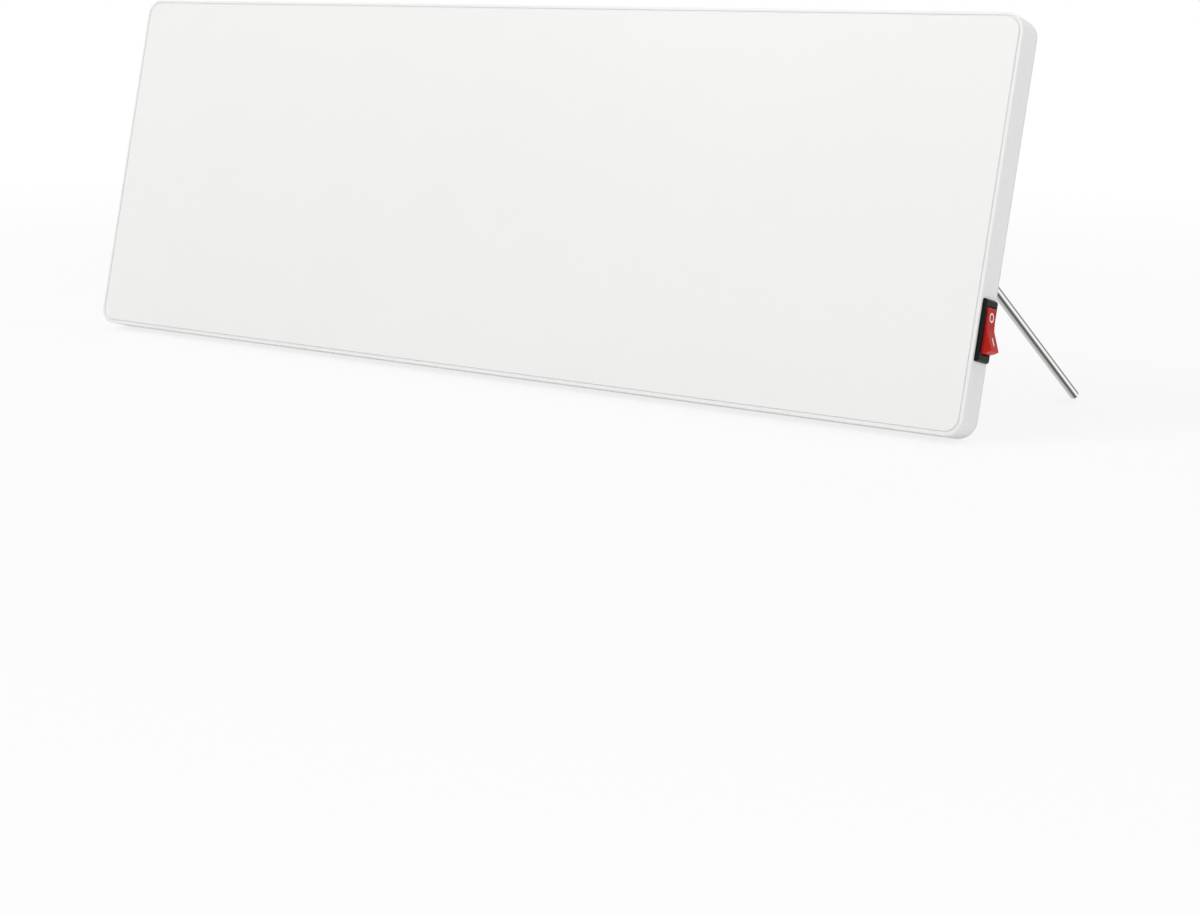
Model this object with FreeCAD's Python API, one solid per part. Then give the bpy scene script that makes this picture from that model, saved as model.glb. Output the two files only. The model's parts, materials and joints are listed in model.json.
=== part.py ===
import FreeCAD, Part
import math
import os

# Slim infrared panel heater that leans back on two folding rod legs.
# Everything is drawn in the panel's own frame: X to the right, Y from the front face to the back,
# Z up the panel. The last section leans the whole panel back until it stands on its legs.
V = FreeCAD.Vector
X_AXIS = V(1, 0, 0)
Y_AXIS = V(0, 1, 0)
Z_AXIS = V(0, 0, 1)

# Panel
panel_width = 600.0
panel_height = 206.0
panel_depth = 18.0
corner_radius = 9.5
front_edge_radius = 0.6
rear_edge_radius = 1.0
fit_gap = 0.3
flush_gap = 0.05
thread_gap = 0.02
least_corner = 1.0
overcut = 1.0

# Frame, front plate and seal
lip_width = 1.5
groove_width = 0.75
plate_thickness = 1.5
plate_edge_radius = 0.4
seal_thickness = 0.4
seal_width = 3.4
seal_inset = 0.5
ledge_width = 7.0
ledge_thickness = 1.6
wall = 2.4

# Rear cover
cover_thickness = 2.0
cover_inset = 0.15
spigot_thickness = 1.2
pocket_wall = 1.5

# Rear cover screws, in cups that sit on the frame's bosses
screw_inset = 9.0
screw_columns = 5
screw_radius = 1.5
screw_length = 9.0
screw_head_radius = 2.8
screw_head_height = 1.9
screw_head_round = 0.76
screw_tip_gap = 1.0
screw_cup_radius = 4.6
screw_well_radius = 3.4
screw_well_depth = 3.2
screw_cup_floor = 1.6
boss_radius = 4.2
cross_width = 0.9
cross_length = 3.4
cross_depth = 1.1

# Heating pack behind the plate
film_margin = 18.0
film_thickness = 0.6
bay_width = 76.0
bay_height = 78.0
busbar_width = 10.0
busbar_thickness = 0.3
busbar_inset = 5.0
pad_margin = 20.0
pad_thickness = 5.7
film_tag_length = 12.0
film_tag_width = 8.0
film_tag_thickness = 0.8
film_tag_x = 60.0
film_tag_window = 8.0

# Rocker switch in the right-hand end
switch_z = 53.0
switch_y = 8.8
bezel_length = 30.6
bezel_width = 14.0
bezel_height = 2.0
bezel_chamfer = 0.9
bezel_corner = 1.1
switch_body_length = 27.6
switch_body_width = 12.2
switch_body_depth = 17.5
switch_cutout_gap = 0.2
switch_floor = 2.0
switch_opening_length = 23.4
switch_opening_width = 9.6
switch_clip_reach = 0.9
switch_clip_length = 6.0
switch_clip_room = 1.0
rocker_gap = 0.3
rocker_pivot_depth = 1.6
rocker_pivot_radius = 1.2
rocker_pivot_reach = 1.0
rocker_pivot_clearance = 0.05
rocker_face_angle = 9.0
rocker_tilt = 13.0
rocker_valley = 2.8
rocker_skirt = 2.5
plunger_radius = 1.6
plunger_seat_depth = 5.5
plunger_boss_wall = 1.1
plunger_tip_round = 1.28
blade_pivot_depth = 12.1
blade_pivot_radius = 0.8
blade_pivot_clearance = 0.05
blade_barrel_wall = 0.5
blade_length = 14.0
blade_width = 5.0
blade_thickness = 0.6
blade_tilt = 7.8
contact_radius = 1.1
contact_height = 0.5
contact_gap = 0.3
tab_pitch = 8.0
tab_width = 4.8
tab_thickness = 0.8
tab_reach = 9.0
tab_rise = 1.0
bridge_thickness = 1.0
receptacle_length = 15.0
receptacle_wall = 0.8
receptacle_gap = 0.05
lamp_radius = 1.4
lamp_length = 8.0
lamp_offset = 10.0
lamp_tip_round = 1.26

# Marks let into the rocker's two faces
mark_depth = 0.25
mark_ring_radius = 2.0
mark_line = 0.8
mark_bar_width = 1.1
mark_offset = 6.0

# Folding rod legs
rod_radius = 2.5
rod_tip_radius = 0.8
leg_inset = 21.0
leg_bend_z = 93.6
leg_length = 149.7
leg_angle = 67.5
leg_bend_radius = 6.0
leg_splay = 5.0
pin_back = 4.2
pin_top = 124.0
pocket_floor_gap = 1.1
pocket_side_gap = 2.4
pocket_stop_gap = 0.8
pin_clearance = 0.05
cradle_low = 99.0
cradle_low_height = 5.0
ring_bay = 1.6
cradle_high_height = 16.0
ring_thickness = 0.8
ring_radius = 3.2
ring_groove = 0.45
ring_slack = 0.1
ring_mouth = 3.0

# Steel strap that holds each leg's pin in its cradle
strap_thickness = 1.6
strap_length = 36.0
strap_width = 12.0
strap_corner = 3.0
strap_screw_pitch = 26.0
strap_screw_radius = 1.4
strap_screw_length = 6.0
strap_head_radius = 2.7
strap_boss_radius = 3.6

# Swivelling mounting ears on the back
ear_thickness = 1.5
ear_width = 26.0
ear_reach = 26.0
ear_corner = 6.0
ear_hole_radius = 2.2
ear_hole_reach = 20.5
ear_pivot_inset = 15.0
ear_pivot_z = 138.0
ear_pivot_radius = 2.0
ear_pivot_clearance = 0.05
ear_washer_radius = 6.0
ear_washer_thickness = 0.5
ear_rivet_head_radius = 4.0
ear_rivet_head_height = 0.9
ear_rivet_head_round = 0.54
ear_rivet_tail_radius = 3.2
ear_rivet_tail_height = 1.0
ear_stop_radius = 1.2
ear_stop_height = 1.4
ear_stop_gap = 0.3
ear_stop_reach = 9.0
ear_stop_root = 0.5

# Supply cord gland in the left-hand end
gland_earth_gap = 4.0
gland_bore_radius = 3.3
gland_shank_radius = 4.6
gland_flange_radius = 6.2
gland_flange_height = 1.6
gland_dome_height = 2.4
gland_dome_radius = 4.2
gland_length = 11.0
gland_nut_height = 3.0
gland_nut_flats = 10.8
gland_y = 9.6

# Terminal block on the frame's shelf
shelf_thickness = 1.5
shelf_y = 3.5
shelf_margin = 1.0
block_length = 20.0
block_pitch = 9.0
block_ways = 3
block_height = 8.6
block_side_gap = 28.0
block_earth_gap = 28.0
block_tube_rise = 3.44
tube_radius = 2.3
tube_bore = 1.5
block_screw_radius = 1.3
block_screw_bite = 0.3
block_screw_inset = 5.4
block_slot_depth = 0.8
block_slot_width = 0.5

# Overheat cut-out and its pressure pad
cutout_x = 0.0
cutout_fuse_gap = 49.0
cutout_cap_radius = 7.9
cutout_cap_height = 2.2
cutout_body_radius = 7.0
cutout_body_height = 5.6
cutout_tab_width = 4.8
cutout_tab_thickness = 0.8
cutout_tab_height = 3.4
cutout_tab_spacing = 9.0
cutout_hole_gap = 0.6
press_pad_radius = 3.2

# Thermal fuse in its sleeve
fuse_radius = 1.4
fuse_length = 11.0
fuse_end_round = 0.56
fuse_top_gap = 61.0
sleeve_radius = 2.2
sleeve_length = 26.0

# Wires
wire_radius = 1.1
wire_bend = 4.0
wire_block_reach = 9.0
channel_z = 15.0
channel_first_y = 6.2
channel_pitch = 3.2
clip_length = 8.0
clip_wall = 0.9
clip_places = (-110.0, 70.0, 190.0)

# Earth stud on the plate
earth_side_gap = 28.0
earth_top_gap = 12.0
earth_base_radius = 3.0
earth_base_height = 1.6
earth_stud_radius = 1.5
earth_stud_length = 6.5
earth_nut_flats = 5.5
earth_nut_height = 2.4
earth_tag_radius = 3.4
earth_tag_width = 4.0
earth_tag_reach = 9.0
earth_tag_thickness = 0.8

# Positions worked out from the sizes above
half_width = panel_width / 2
ledge_front = plate_thickness + seal_thickness
ledge_back = ledge_front + ledge_thickness
cover_y = panel_depth - cover_thickness
plate_inset = lip_width + groove_width
cup_floor_y = panel_depth - screw_well_depth
boss_top_y = cup_floor_y - screw_cup_floor
film_back = plate_thickness + film_thickness
busbar_back = film_back + busbar_thickness
pad_back = busbar_back + pad_thickness
pin_y = panel_depth - pin_back
pocket_floor_y = pin_y - rod_radius - pocket_floor_gap
leg_x = half_width - leg_inset
strap_y = panel_depth - strap_thickness - flush_gap
bezel_x = half_width + bezel_height
rocker_x = bezel_x - rocker_pivot_depth
blade_x = bezel_x - blade_pivot_depth
switch_back = half_width - switch_body_depth
switch_floor_x = switch_back + switch_floor
blade_barrel_radius = blade_pivot_radius + blade_pivot_clearance + blade_barrel_wall
plunger_length = blade_pivot_depth - rocker_pivot_depth - blade_barrel_radius - contact_gap
ear_x = half_width - ear_pivot_inset
ear_y = panel_depth + ear_washer_thickness
ring_z = cradle_low + cradle_low_height + ring_bay / 2
cradle_high = cradle_low + cradle_low_height + ring_bay
strap_z = cradle_high + cradle_high_height / 2
channel_y = [channel_first_y + i * channel_pitch for i in range(3)]
shelf_back = shelf_y + shelf_thickness
earth_x = bay_width - earth_side_gap
earth_z = bay_height - earth_top_gap
gland_z = earth_z + gland_earth_gap
block_x = bay_width - block_side_gap
block_z = earth_z - block_earth_gap
block_left = -half_width + block_x - block_length / 2
block_right = block_left + block_length
block_way_z = [block_z + (i - (block_ways - 1) / 2) * block_pitch for i in range(block_ways)]
block_tube_y = shelf_back + block_tube_rise
fuse_y = pad_back + sleeve_radius
fuse_z = panel_height - fuse_top_gap
cutout_z = fuse_z - cutout_fuse_gap


def box(x0, x1, y0, y1, z0, z1):
    return Part.makeBox(x1 - x0, y1 - y0, z1 - z0, V(x0, y0, z0))


def rod(start, axis, radius, length):
    return Part.makeCylinder(radius, length, start, axis)


def tube(start, axis, outer, inner, length):
    return rod(start, axis, outer, length).cut(rod(start, axis, inner, length))


def prism(points, normal_step):
    wire = Part.makePolygon(points + [points[0]])
    return Part.Face(wire).extrude(normal_step)


def rounded_slab(x0, x1, z0, z1, radius, y0, y1):
    """Plate in the panel's plane with four round corners."""
    slab = box(x0, x1, y0, y1, z0, z1)
    corners = [e for e in slab.Edges if e.Length > 0 and abs(e.tangentAt(e.FirstParameter).y) > 0.99]
    return slab.makeFillet(radius, corners)


def panel_slab(inset, y0, y1):
    """Plate that follows the panel's outline, set in by a margin."""
    radius = max(corner_radius - inset, least_corner)
    return rounded_slab(-half_width + inset, half_width - inset, inset, panel_height - inset, radius, y0, y1)


def edges_at_y(shape, y):
    return [e for e in shape.Edges if all(abs(v.Y - y) < 1e-6 for v in e.Vertexes)]


def hexagon(centre, axis, flats, height):
    """Hexagonal prism along X or Y."""
    reach = flats / math.sqrt(3)
    points = []
    for i in range(6):
        a = math.radians(60 * i + 30)
        if abs(axis.x) > 0.5:
            points.append(centre + V(0, reach * math.cos(a), reach * math.sin(a)))
        else:
            points.append(centre + V(reach * math.cos(a), 0, reach * math.sin(a)))
    return prism(points, axis * height)


def mirrored(shape):
    return shape.mirror(V(0, 0, 0), X_AXIS)


def path_wire(points, bend):
    """Straight runs joined by tangent arcs of one radius."""
    edges = []
    start = points[0]
    for i in range(1, len(points) - 1):
        corner = points[i]
        back = (points[i - 1] - corner).normalize()
        ahead = (points[i + 1] - corner).normalize()
        half = back.getAngle(ahead) / 2
        cut = bend / math.tan(half)
        middle = (back + ahead).normalize() * (bend / math.sin(half) - bend)
        first = corner + back * cut
        last = corner + ahead * cut
        if (first - start).Length > 1e-6:
            edges.append(Part.LineSegment(start, first).toShape())
        edges.append(Part.Arc(first, corner + middle, last).toShape())
        start = last
    edges.append(Part.LineSegment(start, points[-1]).toShape())
    return Part.Wire(edges)


def swept_rod(points, bend, radius):
    path = path_wire(points, bend)
    ring = Part.Wire([Part.Circle(points[0], points[1] - points[0], radius).toShape()])
    return path.makePipeShell([ring], True, False)


def wire_run(points, bend=wire_bend):
    return swept_rod([V(*p) for p in points], bend, wire_radius)


def cross_recess(x, z, top_y):
    """Cross slot cut into a screw head that faces the back."""
    deep = top_y - cross_depth
    along = box(x - cross_length / 2, x + cross_length / 2, deep, top_y,
                z - cross_width / 2, z + cross_width / 2)
    across = box(x - cross_width / 2, x + cross_width / 2, deep, top_y,
                 z - cross_length / 2, z + cross_length / 2)
    return along.fuse(across)


def screw_places():
    """Rear cover screws: a row along the top and a row along the bottom."""
    reach = half_width - screw_inset
    places = []
    for i in range(screw_columns):
        x = -reach + 2 * reach * i / (screw_columns - 1)
        places.append((x, screw_inset))
        places.append((x, panel_height - screw_inset))
    return places


def strap_screw_places():
    return [(leg_x - strap_screw_pitch / 2, strap_z), (leg_x + strap_screw_pitch / 2, strap_z)]


def pack_bays():
    """Cut-away corners of the heating pack, beside the switch and the terminal block."""
    right = box(half_width - bay_width, half_width, 0, panel_depth, 0, bay_height)
    return right.fuse(mirrored(right))


def build_frame():
    body = panel_slab(0, 0, cover_y)
    body = body.makeFillet(front_edge_radius, edges_at_y(body, 0))
    body = body.cut(panel_slab(lip_width, -overcut, ledge_front))
    body = body.cut(panel_slab(ledge_width, 0, cover_y))
    body = body.cut(panel_slab(wall, ledge_back, cover_y + overcut))
    inside = panel_slab(wall / 2, ledge_front, cover_y)
    for x, z in screw_places():
        boss = rod(V(x, ledge_back - ledge_thickness / 2, z), Y_AXIS, boss_radius,
                   boss_top_y - ledge_back + ledge_thickness / 2)
        body = body.fuse(boss.common(inside))
    for x, z in screw_places():
        hole = rod(V(x, boss_top_y - screw_length, z), Y_AXIS, screw_radius + thread_gap,
                   screw_length + overcut)
        body = body.cut(hole)
    shelf_right = block_right + shelf_margin
    shelf_top = block_way_z[-1] + block_pitch
    shelf = box(-half_width + wall / 2, shelf_right, shelf_y, shelf_back, wall / 2, shelf_top)
    body = body.fuse(shelf.common(inside))
    gap = switch_cutout_gap
    opening = box(half_width - ledge_width - overcut, half_width + overcut,
                  switch_y - switch_body_width / 2 - gap, switch_y + switch_body_width / 2 + gap,
                  switch_z - switch_body_length / 2 - gap, switch_z + switch_body_length / 2 + gap)
    body = body.cut(opening)
    clip_room = switch_body_length / 2 + switch_clip_reach + gap
    room = box(half_width - ledge_width - overcut, half_width - wall, ledge_front + ledge_thickness / 2,
               cover_y + overcut, switch_z - clip_room, switch_z + clip_room)
    body = body.cut(room)
    gland_hole = rod(V(-half_width - overcut, gland_y, gland_z), X_AXIS, gland_shank_radius + thread_gap,
                     wall + 2 * overcut)
    return body.cut(gland_hole).removeSplitter()


def build_plate():
    plate = panel_slab(plate_inset, 0, plate_thickness)
    return plate.makeFillet(plate_edge_radius, edges_at_y(plate, 0))


def build_seal():
    outer = plate_inset + seal_inset
    ring = panel_slab(outer, plate_thickness, ledge_front)
    return ring.cut(panel_slab(outer + seal_width, 0, panel_depth))


def build_film():
    film = box(-half_width + film_margin, half_width - film_margin, plate_thickness, film_back,
               film_margin, panel_height - film_margin)
    return film.cut(pack_bays())


def busbar_rows():
    low = film_margin + busbar_inset
    high = panel_height - film_margin - busbar_inset - busbar_width
    return ((low, half_width - bay_width - busbar_inset), (high, half_width - film_margin - busbar_inset))


def build_busbars():
    bars = []
    for z, reach in busbar_rows():
        bars.append(box(-reach, reach, film_back, busbar_back, z, z + busbar_width))
    return bars


def film_tag_places():
    (low, _), (high, _) = busbar_rows()
    return ((-film_tag_x, low + busbar_width / 2), (-film_tag_x, high + busbar_width / 2))


def build_film_tags():
    tags = []
    for x, z in film_tag_places():
        tag = rounded_slab(x - film_tag_length / 2, x + film_tag_length / 2, z - film_tag_width / 2,
                           z + film_tag_width / 2, film_tag_width / 4, busbar_back,
                           busbar_back + film_tag_thickness)
        tags.append(tag)
    return tags


def build_pad():
    pad = box(-half_width + pad_margin, half_width - pad_margin, busbar_back, pad_back,
              pad_margin, panel_height - pad_margin)
    pad = pad.cut(pack_bays())
    for x, z in film_tag_places():
        room_x = film_tag_length / 2 + film_tag_window
        room_z = film_tag_width / 2 + film_tag_window
        pad = pad.cut(box(x - room_x, x + room_x, 0, panel_depth, z - room_z, z + room_z))
    hole = cutout_cap_radius + cutout_hole_gap
    return pad.cut(rod(V(cutout_x, 0, cutout_z), Y_AXIS, hole, panel_depth))


def leg_points(side, fold):
    """Centre line of one leg: down its pin, round the bend and out to the tip."""
    turn = math.radians(leg_splay - fold)
    lean = math.radians(leg_angle)
    out = V(side * math.sin(turn) * math.sin(lean), math.cos(turn) * math.sin(lean), -math.cos(lean))
    bend = V(side * leg_x, pin_y, leg_bend_z)
    return [V(side * leg_x, pin_y, pin_top), bend, bend + out * leg_length], out


def build_leg(side):
    points, out = leg_points(side, 0)
    leg = swept_rod(points, leg_bend_radius, rod_radius)
    tip = points[2]
    rim = [e for e in leg.Edges if all((v.Point - tip).Length < rod_radius + 0.01 for v in e.Vertexes)]
    leg = leg.makeFillet(rod_tip_radius, rim)
    groove_z = ring_z - ring_thickness / 2 - ring_slack
    groove = tube(V(side * leg_x, pin_y, groove_z), Z_AXIS, rod_radius + overcut, rod_radius - ring_groove,
                  ring_thickness + 2 * ring_slack)
    return leg.cut(groove)


def build_ring(side):
    start = V(side * leg_x, pin_y, ring_z - ring_thickness / 2)
    ring = tube(start, Z_AXIS, ring_radius, rod_radius - ring_groove + pin_clearance, ring_thickness)
    mouth = box(side * leg_x - ring_mouth / 2, side * leg_x + ring_mouth / 2, pin_y, pin_y + ring_radius,
                start.z, start.z + ring_thickness)
    return ring.cut(mouth)


def leg_pocket(grow):
    """Room for the right-hand leg, folded or swinging, from the pocket floor to the cover's face."""
    floor = pocket_floor_y - grow
    half = rod_radius + pocket_side_gap + grow
    lean = math.radians(leg_angle)
    along = V(-math.sin(lean), 0, -math.cos(lean))
    across = V(-along.z, 0, along.x)
    start = V(leg_x, floor, leg_bend_z)
    end = start + along * (leg_length + pocket_side_gap + grow)
    inner = start - along * half
    slot = prism([inner - across * half, end - across * half, end + across * half, inner + across * half],
                 V(0, panel_depth - floor, 0))
    stop = leg_x + rod_radius + pocket_stop_gap + grow
    slot = slot.common(box(-half_width, stop, 0, panel_depth, 0, panel_height))
    bay = box(leg_x - half, stop, floor, panel_depth, leg_bend_z - half,
              pin_top + pocket_side_gap + grow)
    return slot.fuse(bay)


def build_cradles():
    """Two half-round saddles under the right-hand leg's pin."""
    half = rod_radius + pocket_side_gap + pocket_wall / 2
    stop = rod_radius + pocket_stop_gap + pocket_wall / 2
    saddles = None
    for low, height in ((cradle_low, cradle_low_height), (cradle_high, cradle_high_height)):
        block = box(leg_x - half, leg_x + stop, pocket_floor_y - pocket_wall / 2, pin_y, low, low + height)
        saddles = block if saddles is None else saddles.fuse(block)
    trough = rod(V(leg_x, pin_y, cradle_low - overcut), Z_AXIS, rod_radius + pin_clearance,
                 pin_top - cradle_low + 2 * overcut)
    return saddles.cut(trough)


def ear_stop_places():
    """Two pips that end the right-hand ear's swing, upright and straight out."""
    away = ear_width / 2 + ear_stop_gap + ear_stop_radius
    return ((ear_x - away, ear_pivot_z + ear_stop_reach), (ear_x + ear_stop_reach, ear_pivot_z - away))


def build_cover_side():
    """What the right-hand half of the cover adds and loses for its leg and its ear."""
    inner_face = cover_y + cover_thickness / 2
    shell = leg_pocket(pocket_wall)
    for x, z in strap_screw_places():
        depth = inner_face - strap_y + strap_screw_length + pocket_wall
        shell = shell.fuse(rod(V(x, inner_face - depth, z), Y_AXIS, strap_boss_radius, depth))
    loss = leg_pocket(0)
    strap_half = strap_length / 2 + fit_gap
    loss = loss.fuse(box(leg_x - strap_half, leg_x + strap_half, strap_y - flush_gap, panel_depth + overcut,
                         strap_z - strap_width / 2 - fit_gap, strap_z + strap_width / 2 + fit_gap))
    for x, z in strap_screw_places():
        loss = loss.fuse(rod(V(x, strap_y - strap_screw_length, z), Y_AXIS, strap_screw_radius + thread_gap,
                             strap_screw_length + overcut))
    loss = loss.fuse(rod(V(ear_x, cover_y - overcut, ear_pivot_z), Y_AXIS, ear_pivot_radius + thread_gap,
                         cover_thickness + 2 * overcut))
    pips = []
    for x, z in ear_stop_places():
        pips.append(rod(V(x, panel_depth - ear_stop_root, z), Y_AXIS, ear_stop_radius,
                        ear_stop_height + ear_stop_root))
    return shell, loss, build_cradles(), pips


def build_cover():
    cover = panel_slab(cover_inset, cover_y, panel_depth)
    cover = cover.makeFillet(rear_edge_radius, edges_at_y(cover, panel_depth))
    spigot = panel_slab(wall + fit_gap, boss_top_y + fit_gap, cover_y)
    spigot = spigot.cut(panel_slab(wall + fit_gap + spigot_thickness, 0, cover_y))
    clip_room = switch_body_length / 2 + switch_clip_reach + switch_clip_room
    spigot = spigot.cut(box(0, half_width, 0, cover_y, switch_z - clip_room, switch_z + clip_room))
    spigot = spigot.cut(box(-half_width, 0, 0, cover_y, gland_z - gland_nut_flats,
                            gland_z + gland_nut_flats))
    cover = cover.fuse(spigot)
    shell, loss, cradles, pips = build_cover_side()
    room = panel_slab(wall + fit_gap, 0, panel_depth - rear_edge_radius)
    for half in (shell, mirrored(shell)):
        cover = cover.fuse(half.common(room))
    for x, z in screw_places():
        cup = rod(V(x, boss_top_y, z), Y_AXIS, screw_cup_radius, cover_y - boss_top_y + cover_thickness / 2)
        cover = cover.fuse(cup.common(room))
    for x, z in screw_places():
        cover = cover.cut(rod(V(x, cup_floor_y, z), Y_AXIS, screw_well_radius, screw_well_depth + overcut))
        cover = cover.cut(rod(V(x, boss_top_y - overcut, z), Y_AXIS, screw_radius + fit_gap,
                              screw_cup_floor + 2 * overcut))
    for half in (loss, mirrored(loss)):
        cover = cover.cut(half)
    for half in (cradles, mirrored(cradles)):
        cover = cover.fuse(half)
    for pip in pips:
        cover = cover.fuse(pip).fuse(mirrored(pip))
    return cover.removeSplitter()


def build_cover_screws():
    screws = []
    for x, z in screw_places():
        head = rod(V(x, cup_floor_y, z), Y_AXIS, screw_head_radius, screw_head_height)
        head = head.makeFillet(screw_head_round, edges_at_y(head, cup_floor_y + screw_head_height))
        shank_length = screw_length - screw_tip_gap
        shank = rod(V(x, cup_floor_y - shank_length, z), Y_AXIS, screw_radius, shank_length)
        screws.append(head.fuse(shank).cut(cross_recess(x, z, cup_floor_y + screw_head_height)))
    return screws


def build_strap(side):
    x0 = leg_x - strap_length / 2
    strap = rounded_slab(x0, x0 + strap_length, strap_z - strap_width / 2, strap_z + strap_width / 2,
                         strap_corner, strap_y, strap_y + strap_thickness)
    for x, z in strap_screw_places():
        strap = strap.cut(Part.makeCone(strap_screw_radius + thread_gap, strap_head_radius + thread_gap,
                                        strap_thickness, V(x, strap_y, z), Y_AXIS))
    return strap if side > 0 else mirrored(strap)


def build_strap_screws():
    screws = []
    top = strap_y + strap_thickness
    for x, z in strap_screw_places():
        head = Part.makeCone(strap_screw_radius, strap_head_radius, strap_thickness, V(x, strap_y, z),
                             Y_AXIS)
        shank = rod(V(x, strap_y - strap_screw_length, z), Y_AXIS, strap_screw_radius, strap_screw_length)
        screw = head.fuse(shank).cut(cross_recess(x, z, top))
        screws += [screw, mirrored(screw)]
    return screws


def build_ear(side):
    """Flat ear, upright over its pivot, with a round lower end and two rounded upper corners."""
    half = ear_width / 2
    top = ear_pivot_z + ear_reach
    ear = box(ear_x - half, ear_x + half, ear_y, ear_y + ear_thickness, ear_pivot_z, top)
    corners = [e for e in ear.Edges if all(abs(v.Z - top) < 1e-6 for v in e.Vertexes)
               and abs(e.tangentAt(e.FirstParameter).y) > 0.99]
    ear = ear.makeFillet(ear_corner, corners)
    ear = ear.fuse(rod(V(ear_x, ear_y, ear_pivot_z), Y_AXIS, half, ear_thickness)).removeSplitter()
    pivot = ear_pivot_radius + ear_pivot_clearance
    ear = ear.cut(rod(V(ear_x, ear_y - overcut, ear_pivot_z), Y_AXIS, pivot, ear_thickness + 2 * overcut))
    hole_z = ear_pivot_z + ear_hole_reach
    ear = ear.cut(rod(V(ear_x, ear_y - overcut, hole_z), Y_AXIS, ear_hole_radius,
                      ear_thickness + 2 * overcut))
    return ear if side > 0 else mirrored(ear)


def build_ear_washer(side):
    washer = tube(V(ear_x, panel_depth, ear_pivot_z), Y_AXIS, ear_washer_radius,
                  ear_pivot_radius + thread_gap, ear_washer_thickness)
    return washer if side > 0 else mirrored(washer)


def build_ear_rivet(side):
    head_y = ear_y + ear_thickness + flush_gap
    head = rod(V(ear_x, head_y, ear_pivot_z), Y_AXIS, ear_rivet_head_radius, ear_rivet_head_height)
    head = head.makeFillet(ear_rivet_head_round, edges_at_y(head, head_y + ear_rivet_head_height))
    shank = rod(V(ear_x, cover_y, ear_pivot_z), Y_AXIS, ear_pivot_radius, head_y - cover_y)
    tail = rod(V(ear_x, cover_y - ear_rivet_tail_height, ear_pivot_z), Y_AXIS, ear_rivet_tail_radius,
               ear_rivet_tail_height)
    rivet = head.fuse(shank).fuse(tail)
    return rivet if side > 0 else mirrored(rivet)


def switch_block(length, width, x0, x1):
    return box(x0, x1, switch_y - width / 2, switch_y + width / 2,
               switch_z - length / 2, switch_z + length / 2)


def build_switch_housing():
    bezel = switch_block(bezel_length, bezel_width, half_width, bezel_x)
    corners = [e for e in bezel.Edges if abs(e.tangentAt(e.FirstParameter).x) > 0.99]
    bezel = bezel.makeFillet(bezel_corner, corners)
    rim = [e for e in bezel.Edges if all(abs(v.X - bezel_x) < 1e-6 for v in e.Vertexes)]
    bezel = bezel.makeChamfer(bezel_chamfer, rim)
    body = bezel.fuse(switch_block(switch_body_length, switch_body_width, switch_back, half_width))
    clip_x = half_width - wall - fit_gap
    for end in (-1, 1):
        z = switch_z + end * switch_body_length / 2
        points = [V(clip_x, switch_y - switch_clip_length / 2, z),
                  V(clip_x, switch_y - switch_clip_length / 2, z + end * switch_clip_reach),
                  V(clip_x - switch_clip_length, switch_y - switch_clip_length / 2, z)]
        body = body.fuse(prism(points, V(0, switch_clip_length, 0)))
    body = body.cut(switch_block(switch_opening_length, switch_opening_width, switch_floor_x,
                                 bezel_x + overcut))
    reach = switch_opening_width / 2 + rocker_pivot_reach
    body = body.cut(rod(V(rocker_x, switch_y - reach, switch_z), Y_AXIS,
                        rocker_pivot_radius + rocker_pivot_clearance, 2 * reach))
    for i in (-1, 0, 1):
        z = switch_z + i * tab_pitch
        slot = box(switch_back - overcut, switch_floor_x + overcut, switch_y - tab_width / 2,
                   switch_y + tab_width / 2, z - tab_thickness / 2, z + tab_thickness / 2)
        body = body.cut(slot)
    return body


def turned(shape, angle):
    """Turn a switch piece about the rocker's pivot, from level to its rest position."""
    return shape.rotated(V(rocker_x, switch_y, switch_z), Y_AXIS, angle)


def rocker_face_points():
    """Level rocker seen along its pivot: valley, raised ends and skirt, as X and Z offsets."""
    radius = switch_opening_length / 2 - rocker_gap
    rise = math.radians(rocker_face_angle)
    s = 0.0
    for _ in range(60):
        s = math.sqrt(max(radius ** 2 - (rocker_valley + s * math.tan(rise)) ** 2, 0))
    return radius, s, rocker_valley + s * math.tan(rise)


def build_rocker():
    radius, reach, top = rocker_face_points()
    width = switch_opening_width - 2 * rocker_gap
    y0 = switch_y - width / 2

    def at(h, s):
        return V(rocker_x + h, y0, switch_z + s)

    skirt = math.sqrt(radius ** 2 - rocker_skirt ** 2)
    edges = [Part.LineSegment(at(rocker_valley, 0), at(top, reach)).toShape(),
             Part.Arc(at(top, reach), at(0, radius), at(-rocker_skirt, skirt)).toShape(),
             Part.LineSegment(at(-rocker_skirt, skirt), at(-rocker_skirt, -skirt)).toShape(),
             Part.Arc(at(-rocker_skirt, -skirt), at(0, -radius), at(top, -reach)).toShape(),
             Part.LineSegment(at(top, -reach), at(rocker_valley, 0)).toShape()]
    body = Part.Face(Part.Wire(edges)).extrude(V(0, width, 0))
    pivot_reach = switch_opening_width / 2 + rocker_pivot_reach - rocker_gap / 2
    body = body.fuse(rod(V(rocker_x, switch_y - pivot_reach, switch_z), Y_AXIS, rocker_pivot_radius,
                         2 * pivot_reach))
    boss = rod(V(rocker_x - rocker_skirt - plunger_seat_depth / 2, switch_y, switch_z), X_AXIS,
               plunger_radius + plunger_boss_wall, plunger_seat_depth / 2)
    body = body.fuse(boss)
    body = body.cut(rod(V(rocker_x - rocker_skirt - plunger_seat_depth / 2, switch_y, switch_z), X_AXIS,
                        plunger_radius + pin_clearance, plunger_seat_depth))
    for mark in rocker_marks():
        body = body.cut(mark)
    return turned(body, -rocker_tilt)


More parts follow.
